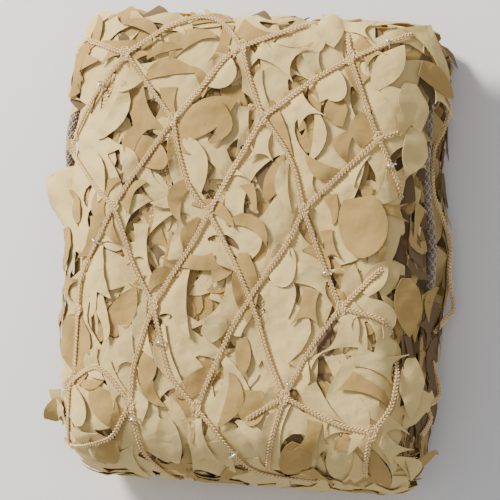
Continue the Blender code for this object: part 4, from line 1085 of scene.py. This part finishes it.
def side_place(y, up, height):
    """Places a height out from the right side's slope."""
    up = np.clip(up, 0.05 * HEIGHT, 0.96 * HEIGHT)
    run = side_middle(y + 0.001, up) - side_middle(y - 0.001, up)
    rise = side_middle(y, up + 0.004) - side_middle(y, up - 0.004)
    return side_middle(y, up) + unit(np.cross(run, rise)) * np.asarray(height)[..., None]


class NETTING_OT_garnish(bpy.types.Operator):
    """Leaf-cut cloth of the outermost fold, and the two cloths that show through its cuts"""

    bl_idname = "netting.garnish"
    bl_label = "Garnish cloth"

    def execute(self, context):
        """Cuts, folds and thickens the three cloths."""
        start, end = bundle.run[0] + 0.001, bundle.top_end - 0.001
        cloth_piece("garnish_face", start, end, CUT_OUTLINES + FLOOR_CUTS, face_height, "sand", FACE_STEP, 21)
        start = bundle.top_start - 0.085
        for name, level, seed, inset in (("garnish_second", SECOND, 31, 0.007),
                                         ("garnish_third", THIRD, 41, 0.009)):
            cloth_piece(name, start, end, scattered_cuts(start, end, 70, seed),
                        lambda spots: level + 0.0003 * hummocks(spots, 0.05, seed),
                        "tan", UNDER_STEP, seed, inset=inset)
        return {"FINISHED"}


class NETTING_OT_folds(bpy.types.Operator):
    """Inner folds of the same cloth, with ragged leaf edges at the open sides"""

    bl_idname = "netting.folds"
    bl_label = "Inner folds"

    def execute(self, context):
        """Builds the length of cloth inside the outermost fold, twice over, a little apart."""
        start, end = bundle.run[bundle.starts[1]], bundle.run[-1]
        for name, tone, level, seed in (("garnish_folds", "sand", FOLD_PLY, 51),
                                        ("garnish_folds_inner", "tan", -FOLD_PLY, 61)):
            cloth_piece(name, start, end, scattered_cuts(start, end, 150, seed, (0.030, 0.046)),
                        lambda spots: level + 0.0009 * hummocks(spots, 0.05, seed),
                        tone, FOLD_STEP, seed, lobe=0.034, depth=0.014)
        return {"FINISHED"}


class Heap:
    """Chooses levels for leaves, so that those that lie over each other have different ones."""

    def __init__(self, chance):
        self.chance, self.laid = chance, []

    def level(self, middle, reach, levels):
        """The level that the fewest near leaves have."""
        used = [low for spot, other, low in self.laid if math.dist(spot, middle) < (other + reach) * 0.45]
        chosen = min(range(levels), key=lambda choice: (used.count(choice), self.chance.random()))
        self.laid.append((tuple(middle), reach, chosen))
        return chosen


def strewn_size(chance, strewn):
    """A length and a width for a strewn leaf."""
    return chance.uniform(*strewn.length), chance.uniform(*strewn.width)


def lay_tongues(pile, chance, heap):
    """The leaves of the table."""
    for leaf in LEAVES:
        middle, length = bundle.spot(leaf.across, leaf.down), leaf.length * GRID
        rise = leaf.root * 1e-4 + 0.0004 * heap.level(middle, length, 3)
        form = above_face(rise, rise + (leaf.tip - leaf.root) * 0.6e-4, leaf.cup * 1.4e-4,
                          chance.uniform(-0.0008, 0.0008))
        leaf_mesh(pile, middle, leaf.turn, (length, leaf.width * GRID), leaf.outline, leaf.bend, leaf.tone,
                  form)


def lay_shingles(pile, chance, heap):
    """Leaves strewn over the plain cloth between those of the table, low on the near bend."""
    spots = np.array([middle for middle, _, _ in heap.laid])
    reaches = np.array([reach for _, reach, _ in heap.laid])
    for _ in range(SHINGLES.tries):
        along = chance.uniform(bundle.top_start - 0.095, bundle.top_end - 0.014)
        left, right = float(limits(along, -1)) - 0.024, float(limits(along, 1)) - 0.006
        middle = np.array([along, chance.uniform(-left, right)])
        length, width = strewn_size(chance, SHINGLES)
        width *= chance.choice((-1, 1))
        gaps = np.linalg.norm(spots - middle, axis=1) - (reaches + length) * 0.27
        into = np.linalg.norm(CUT_MIDDLES - middle, axis=1) - (CUT_REACH * 0.62 + length * 0.10)
        from_flare = abs(bundle.profile(along)[0] - row_y(DRAPE_FLARES[0][0], -1))
        if gaps.min() < 0 or into.min() < 0 or (middle[1] < 0.026 - WIDTH / 2 and from_flare < FLARE_ROOM):
            continue
        hug = 0.45 + 0.55 * float(ease((along - bundle.top_start + 0.05) / 0.06))
        rise = 0.0005 * heap.level(middle, length, 3) * hug
        form = above_face(rise, rise + chance.uniform(0.0006, 0.0032) * hug, chance.uniform(0.0002, 0.0016),
                          chance.uniform(-0.0014, 0.0014) * hug)
        turn = chance.gauss(SHINGLES.turn, SHINGLES.scatter)
        (kind, bend), tone = any_leaf(chance), chance.choice(("sand", "tan"))
        if middle[1] > 0.010 and length > 0.041:
            tone = "sand"
        if middle[1] < -0.020 and along > bundle.top_end - 0.170 and length > 0.036:
            tone = "tan"
        leaf_mesh(pile, middle, turn, (length, width), kind, bend, tone, form)
        spots = np.vstack([spots, middle])
        reaches = np.append(reaches, length)
    for cut in FLOOR_CUTS:
        leaf_mesh(pile, cut.mean(axis=0), chance.uniform(0, 360), (0.030, 0.017), "disc", 0, "tan",
                  lambda flat, share, edge: np.full(len(flat), SECOND), step=SMALL_STEP)


def lay_jumble(pile, chance, heap):
    """Leaves that show in the cuts, on levels between the face cloth and the one below it."""
    low = np.array([bundle.top_start - 0.075, -WIDTH / 2 - 0.020])
    high = np.array([bundle.top_end - 0.012, WIDTH / 2 - 0.012])
    for _ in range(JUMBLE.tries):
        middle = low + (high - low) * np.array([chance.random(), chance.random()])
        size = strewn_size(chance, JUMBLE)
        turn = chance.gauss(JUMBLE.turn, JUMBLE.scatter) if chance.random() < 0.7 else chance.uniform(0, 360)
        kind, bend = any_leaf(chance)
        edge = to_flat(leaf_outline(kind, *size, bend, 5), middle, turn)
        if not in_a_cut(edge, middle, size[0]):
            continue
        form = below_face(heap.level(middle, size[0], LEVELS), chance.uniform(0.0, 1.2),
                          chance.uniform(-0.3, 0.5), chance.uniform(-0.4, 0.4))
        # one leaf in five takes the painted shade tone, which darkens the depths of the cuts
        tone = chance.choice(("sand", "sand", "tan", "tan", "inner"))
        if edge[:, 1].min() > -DRAPE_END:
            leaf_mesh(pile, middle, turn, size, kind, bend, tone, form, step=SMALL_STEP)


def lay_side(pile, chance, heap):
    """Leaves over the layers' edges at the right, clear of the rope."""
    for _ in range(SIDE_LEAVES.tries):
        y, height = row_y(chance.uniform(64, 452), 1), chance.uniform(0.14, 0.95)
        if row_y(298, 1) < y < row_y(78, 1) and 0.36 < height < 0.80:
            continue
        size = strewn_size(chance, SIDE_LEAVES)
        rise = 0.0002 + 0.0008 * heap.level((y, height * HEIGHT), size[0] * 0.8, 4)
        tip, cup = chance.uniform(0, 0.0030), chance.uniform(-0.0006, 0.0010)
        twist = chance.uniform(-0.0015, 0.0015)
        turn = chance.gauss(SIDE_LEAVES.turn, SIDE_LEAVES.scatter)
        # a third of these leaves take the painted shade tone, which darkens the gaps between the layers
        leaf_mesh(pile, (y, height * HEIGHT), turn, size, *any_leaf(chance), chance.choice(TONES),
                  lambda flat, share, edge: (
                      rise + tip * share ** 1.5 + cup * edge ** 2 + twist * edge * share),
                  side_place, SMALL_STEP)


def lay_turns(pile, chance, heap):
    """Leaves round the turns of the lower folds at the far end."""
    for fold in range(1, FOLDS - 1):
        outward = 1 if fold % 2 == 0 else -1
        start, end = bundle.fold_run(fold)[3], bundle.fold_run(fold + 1)[0]
        for _ in range(TURN_LEAVES.tries):
            middle = (chance.uniform(start, end), chance.uniform(-0.43, 0.43) * WIDTH)
            size = strewn_size(chance, TURN_LEAVES)
            rise = 0.0030 + 0.0004 * heap.level(middle, size[0], 3)
            tip, cup = chance.uniform(0, 0.0010), chance.uniform(0, 0.0006)
            turn = chance.gauss(TURN_LEAVES.turn, TURN_LEAVES.scatter) + chance.choice((0, 180))
            leaf_mesh(pile, middle, turn, size, *any_leaf(chance), chance.choice(("sand", "tan")),
                      lambda flat, share, edge: outward * (rise + tip * share ** 1.5 + cup * edge ** 2),
                      step=TURN_STEP)


class NETTING_OT_leaves(bpy.types.Operator):
    """Loose leaves: on the face, in its cuts, over the right side and round the far turns"""

    bl_idname = "netting.leaves"
    bl_label = "Leaves"

    def execute(self, context):
        """Lays each kind of leaf in turn, all from one run of random draws."""
        chance = random.Random(71)
        face = Heap(chance)
        for name, lay, heap in (("leaf_tongues", lay_tongues, face), ("leaf_shingles", lay_shingles, face),
                                ("leaf_jumble", lay_jumble, Heap(chance)),
                                ("leaf_side", lay_side, Heap(chance)),
                                ("leaf_turns", lay_turns, Heap(chance))):
            pile = Pile()
            lay(pile, chance, heap)
            made = pile.build(name, [finish(tone + "_cloth") for tone in TONES], SHEET)
            dress(made, "garnish", "garnish_cloth")
        return {"FINISHED"}


# ---------------------------------------------------------------- net, rope and rings
def stitch_cord(pile, centre, up, width, stitch, faces=(1,)):
    """A chain-stitched cord: a core painted dark as the shade between the stitches, with a pair of slanting
    loop legs for each stitch and face.
    """
    run = run_of(centre)
    count = max(2, int(run[-1] / stitch))
    # the core takes the second finish, a darker copy of the cord that paints the shade between the stitches
    sweep(pile, at_run(np.linspace(0, run[-1], count + 1), run, centre), width * 0.27, 6, 1)
    rings, sides = 4, 5
    share = np.linspace(0, 1, rings)
    angles = 2 * np.pi * np.arange(sides) / sides
    out = 0.06 + 0.27 * np.sin(share * np.pi * 0.62)
    tall = 0.20 - 0.13 * share ** 2
    radius = np.tile(width * 0.185 * np.sin(np.pi * (0.12 + 0.76 * share)), count)[:, None, None]
    for side in (-1, 1):
        for face in faces:
            places = np.arange(count)[:, None] + (0.25 if face > 0 else 0.75) + (share[None] - 0.5) * 0.98
            places = places + (0.5 if side > 0 else 0.0)
            places = np.clip(places * run[-1] / count, 0, run[-1]).ravel()
            ahead = unit(at_run(places + 0.0006, run, centre) - at_run(places - 0.0006, run, centre))
            wide = unit(np.cross(ahead, at_run(places, run, up)))
            rise = np.cross(wide, ahead)
            middle = (at_run(places, run, centre) + wide * np.tile(side * width * out, count)[:, None]
                      + rise * np.tile(face * width * tall, count)[:, None])
            loops = middle[:, None] + radius * around(angles, wide, rise)
            index = np.arange(count * rings * sides).reshape(count, rings, sides)
            after = np.roll(index, -1, axis=2)
            quads = np.stack([index[:, :-1], after[:, :-1], after[:, 1:], index[:, 1:]], -1).reshape(-1, 4)
            flat = np.repeat(np.stack([places, np.zeros(count * rings)], -1), sides, axis=0)
            first = pile.count
            pile.add(loops.reshape(-1, 3), quads, flat)
            pile.add_faces(first + np.concatenate([index[:, 0, ::-1], index[:, -1]]))


class NETTING_OT_net(bpy.types.Operator):
    """Chain-stitched cord net over the face, fused at its knots"""

    bl_idname = "netting.net"
    bl_label = "Net"

    def execute(self, context):
        """Stitches the face's strands and knots, the cords below it and the loops at the side."""
        width, stitch = context.scene.netting_sizes.cord_width, context.scene.netting_sizes.stitch
        pile = Pile()
        for line, strand in zip(NET_LINES, STRANDS):
            run = np.linspace(0, 1, len(line)) * STRAND_STEP * (len(line) - 1)
            dive = np.zeros(len(line))
            for stop, from_stop in ((strand[0], run), (strand[-1], run[::-1])):
                if not isinstance(stop, str):
                    dive = np.maximum(dive, ease(1 - from_stop / DIVE_RUN))
            self.stitch_flat(pile, line, CORD_LINE - DIVE * dive, width, stitch)
        turns = np.linspace(0, 2 * np.pi * KNOT_TURNS, 34)
        for index, mark in enumerate(KNOTS.values()):
            flat = bundle.spot(*mark)
            reach = KNOT_RADIUS * (1.3 + 0.5 * np.cos(1.5 * turns + index))
            line = np.stack([flat[0] + KNOT_LONG * reach * np.sin(turns),
                             flat[1] + reach * np.cos(turns)], axis=-1)
            height = CORD_LINE + 0.0008 * np.sin(1.5 * turns + index)
            self.stitch_flat(pile, line, height, width * 0.85, stitch)
        self.finish_cord(pile, "net_face_cord", "net_face")
        pile = Pile()
        for line in flat_lines(UNDER_STRANDS):
            self.stitch_flat(pile, line, face_height(line) - UNDER_CORD, width, stitch)
        self.finish_cord(pile, "net_under_cord", "net_face")
        for solid, table, swing in (("net_loop_right", LOOP_RIGHT, SWING_RIGHT),
                                    ("net_loop_low", LOOP_LOW, SWING_LOW)):
            pile = Pile()
            centre = side_line(table, 1, 0.0005, swing)
            stitch_cord(pile, centre, np.tile((1.0, 0.0, 0.4), (len(centre), 1)), width, stitch, (1, -1))
            self.finish_cord(pile, solid + "_cord", solid)
        return {"FINISHED"}

    @staticmethod
    def stitch_flat(pile, line, height, width, stitch):
        """A cord along a line of the flat cloth, at a height above its middle."""
        stitch_cord(pile, bundle.place(line[:, 0], line[:, 1], height), bundle.normal(line[:, 0], line[:, 1]),
                    width, stitch)

    @staticmethod
    def finish_cord(pile, name, solid):
        """Builds a pile of cord in place of a solid."""
        # the second finish is the cord's painted shade, for the cores
        made = pile.build(name, (finish("net_cord"), finish("net_cord_core")), smooth=70)
        dress(made, "net_cord", solid)


def side_line(table, side, out, swing=((0, 0), (500, 0))):
    """Places along one side of the bundle from grid rows and heights; swing is (row, mm) further out."""
    stops = []
    for down, level in table:
        y = row_y(down, side)
        corner = max(0.0, abs(y) - (LENGTH / 2 - CORNER))
        inward = CORNER - math.sqrt(max(0.0, CORNER ** 2 - corner ** 2))
        aside = -on_table(SIDE_IN, y, 1) if side > 0 else on_table(SIDE_OUT, y, -1)
        x = side * (WIDTH / 2 + out - inward + aside + on_table(swing, y, side))
        sunk = max(0.0, (abs(x) - (WIDTH / 2 - SHOULDER)) / SHOULDER)
        stops.append((x + SHIFT, y - x * SLANT + SHIFT_FAR, level * HEIGHT * (1 - SINK * sunk ** 2)))
    return smooth_line(np.array(stops), 8)


def smooth_line(stops, pieces):
    """A smooth line through its stops."""
    padded = np.concatenate([stops[:1], stops, stops[-1:]])
    spots = []
    for before, start, end, after in zip(padded, padded[1:], padded[2:], padded[3:]):
        for piece in range(pieces):
            t = piece / pieces
            spots.append(0.5 * (2 * start + (end - before) * t
                                + (2 * before - 5 * start + 4 * end - after) * t ** 2
                                + (3 * start - before - 3 * end + after) * t ** 3))
    return np.array(spots + [stops[-1]])


class NETTING_OT_rope(bpy.types.Operator):
    """Braided edge rope in the folds at the right and left"""

    bl_idname = "netting.rope"
    bl_label = "Edge rope"

    def execute(self, context):
        """Braids both stretches of rope from crossing yarns over a core."""
        size = context.scene.netting_sizes.rope_width / 2
        for name, table, side, out in (("edge_rope_right", ROPE_RIGHT, 1, ROPE_RIGHT_OUT),
                                       ("edge_rope_left", ROPE_LEFT, -1, ROPE_LEFT_OUT)):
            pile = Pile()
            centre = side_line(table, side, out)
            run = run_of(centre)
            even = np.linspace(0, run[-1], int(run[-1] / 0.0009))
            line = at_run(even, run, centre)
            ahead = unit(np.gradient(line, axis=0))
            first = unit(np.cross(ahead, (1, 0, 0)))
            second = np.cross(first, ahead)
            sweep(pile, line, size * 0.78, 12)
            for hand in (1, -1):
                for yarn in range(BRAID_YARNS):
                    turn = hand * (2 * np.pi * even / BRAID_PITCH) + 2 * np.pi * yarn / BRAID_YARNS
                    weave = np.sin(2 * BRAID_YARNS * 2 * np.pi * even / BRAID_PITCH + hand)
                    reach = size * 0.84 + size * 0.07 * weave
                    aside, up = reach * np.cos(turn), reach * np.sin(turn)
                    sweep(pile, line + first * aside[:, None] + second * up[:, None], size * 0.15, 4,
                          (yarn + (hand > 0)) % 2)
            made = pile.build(name + "_braid", (finish("rope_dark"), finish("rope_pale")), smooth=60)
            dress(made, "edge_rope", name)
        return {"FINISHED"}


class NETTING_OT_rings(bpy.types.Operator):
    """Hog rings: open steel wire rings closed over a cord"""

    bl_idname = "netting.rings"
    bl_label = "Hog rings"

    def execute(self, context):
        """Bends each ring over the strand nearest to its mark."""
        sizes = context.scene.netting_sizes
        steel = bright_wire("ring_steel")
        middles = (NET_STARTS + NET_ENDS) / 2
        turns = np.radians(np.linspace(*RING_ARC, RING_PIECES))[:, None]
        apart = np.linspace(-0.5, 0.5, RING_PIECES)[:, None] * RING_PASS
        for index, mark in enumerate(HOG_RINGS, 1):
            nearest = int(np.argmin(np.linalg.norm(middles - bundle.spot(*mark), axis=1)))
            flat = middles[nearest]
            run = NET_ENDS[nearest] - NET_STARTS[nearest]
            up = bundle.normal(*flat)
            ahead = unit(bundle.middle(*(flat + run)) - bundle.middle(*flat))
            side = unit(np.cross(ahead, up))
            ring = bundle.place(*flat, CORD_LINE) + sizes.ring * (np.cos(turns) * side + np.sin(turns) * up)
            pile = Pile()
            sweep(pile, ring + apart * ahead, sizes.ring_wire / 2, 10)
            made = pile.build("hog_ring_%02d_wire" % index, (steel,), smooth=60)
            dress(made, "ring_steel", "hog_ring_%02d" % index)
        return {"FINISHED"}


# ---------------------------------------------------------------- stage
class NETTING_OT_stage(bpy.types.Operator):
    """Pale floor, soft light from the upper left, and the camera"""

    bl_idname = "netting.stage"
    bl_label = "Stage"

    def execute(self, context):
        """Builds the floor, the lights and the camera."""
        made = bpy.data.meshes.new("floor")
        corners = ((-4, -4), (4, -4), (4, 4), (-4, 4))
        made.from_pydata([(x, y, -0.0002) for x, y in corners], [], [(0, 1, 2, 3)])
        floor = bpy.data.objects.new("floor", made)
        context.scene.collection.objects.link(floor)
        pale, _, shader = finish_material("pale_floor", 0.95)
        shader.inputs["Base Color"].default_value = (0.93, 0.93, 0.93, 1)
        shader.inputs["Specular IOR Level"].default_value = 0.0
        made.materials.append(pale)
        world = bpy.data.worlds.new("studio")
        world.use_nodes = True
        sky = world.node_tree.nodes["Background"].inputs
        sky["Color"].default_value, sky["Strength"].default_value = WORLD
        context.scene.world = world
        for name, spot, size, power in LAMPS:
            lamp = bpy.data.lights.new(name, "AREA")
            lamp.size, lamp.energy, lamp.color = size, power, LAMP_COLOUR
            light = bpy.data.objects.new(name, lamp)
            light.location = spot
            light.rotation_euler = (Vector((0, 0, 0.05)) - Vector(spot)).to_track_quat("-Z", "Y").to_euler()
            context.scene.collection.objects.link(light)
        lens = bpy.data.cameras.new("camera")
        lens.sensor_width = 36.0
        lens.lens = lens.sensor_width * STAND / (2 * GRID_MIDDLE * GRID)
        camera = bpy.data.objects.new("camera", lens)
        turn = Matrix((bundle.rightward, bundle.upward, bundle.sight)).transposed()
        camera.matrix_world = Matrix.Translation(bundle.target + bundle.sight * STAND) @ turn.to_4x4()
        context.scene.collection.objects.link(camera)
        context.scene.camera = camera
        return {"FINISHED"}


# ---------------------------------------------------------------- add-on
class NettingSizes(bpy.types.PropertyGroup):
    """Sizes that a user would change."""

    cord_width: bpy.props.FloatProperty(name="Cord width", description="Width of the net's cord",
                                        default=0.0046, unit="LENGTH")
    stitch: bpy.props.FloatProperty(name="Stitch", description="Length of one chain stitch",
                                    default=0.0030, unit="LENGTH")
    rope_width: bpy.props.FloatProperty(name="Rope width", description="Diameter of the edge rope",
                                        default=0.0080, unit="LENGTH")
    ring: bpy.props.FloatProperty(name="Ring radius", description="Mean radius of a hog ring",
                                  default=0.0044, unit="LENGTH")
    ring_wire: bpy.props.FloatProperty(name="Ring wire", description="Diameter of a hog ring's wire",
                                       default=0.0018, unit="LENGTH")


class NettingColours(bpy.types.PropertyGroup):
    """Colours that a user would change."""

    sand: bpy.props.FloatVectorProperty(name="Sand", description="Face of the cloth", subtype="COLOR",
                                        size=3, default=(0.78, 0.592, 0.256))
    tan: bpy.props.FloatVectorProperty(name="Tan", description="Reverse of the cloth", subtype="COLOR",
                                       size=3, default=(0.49, 0.325, 0.112))
    # painted shade: a dark brown that stands for the shade deep in the folds and cuts, worn by the backs of
    # the tan pieces and by some loose leaves
    inner: bpy.props.FloatVectorProperty(name="Inner", description="Cloth deep in the folds", subtype="COLOR",
                                         size=3, default=(0.19, 0.122, 0.064))
    cord: bpy.props.FloatVectorProperty(name="Cord", description="Net's cord", subtype="COLOR",
                                        size=3, default=(1.0, 0.735, 0.375))
    rope: bpy.props.FloatVectorProperty(name="Rope", description="Edge rope", subtype="COLOR",
                                        size=3, default=(0.39, 0.33, 0.265))


class NETTING_PT_panel(bpy.types.Panel):
    """Lists the bundle's steps"""

    bl_label = "Netting bundle"
    bl_idname = "NETTING_PT_panel"
    bl_space_type = "VIEW_3D"
    bl_region_type = "UI"
    bl_category = "Netting"

    def draw(self, context):
        """Draws the sizes, the colours and a button for each step."""
        for group in (context.scene.netting_sizes, context.scene.netting_colours):
            for name in group.__annotations__:
                self.layout.prop(group, name)
        for step in STEPS:
            self.layout.operator(step.bl_idname)


STEPS = (NETTING_OT_stage, NETTING_OT_garnish, NETTING_OT_folds, NETTING_OT_leaves, NETTING_OT_net,
         NETTING_OT_rope, NETTING_OT_rings)
CLASSES = (NettingSizes, NettingColours) + STEPS + (NETTING_PT_panel,)


def register():
    """Registers the add-on's classes."""
    for made in CLASSES:
        bpy.utils.register_class(made)
    bpy.types.Scene.netting_sizes = bpy.props.PointerProperty(type=NettingSizes)
    bpy.types.Scene.netting_colours = bpy.props.PointerProperty(type=NettingColours)


def unregister():
    """Removes them again."""
    del bpy.types.Scene.netting_colours
    del bpy.types.Scene.netting_sizes
    for made in reversed(CLASSES):
        bpy.utils.unregister_class(made)


def main():
    """Dresses the bundle."""
    register()
    for step in STEPS:
        area, name = step.bl_idname.split(".")
        getattr(getattr(bpy.ops, area), name)()


if __name__ == "__main__":
    main()
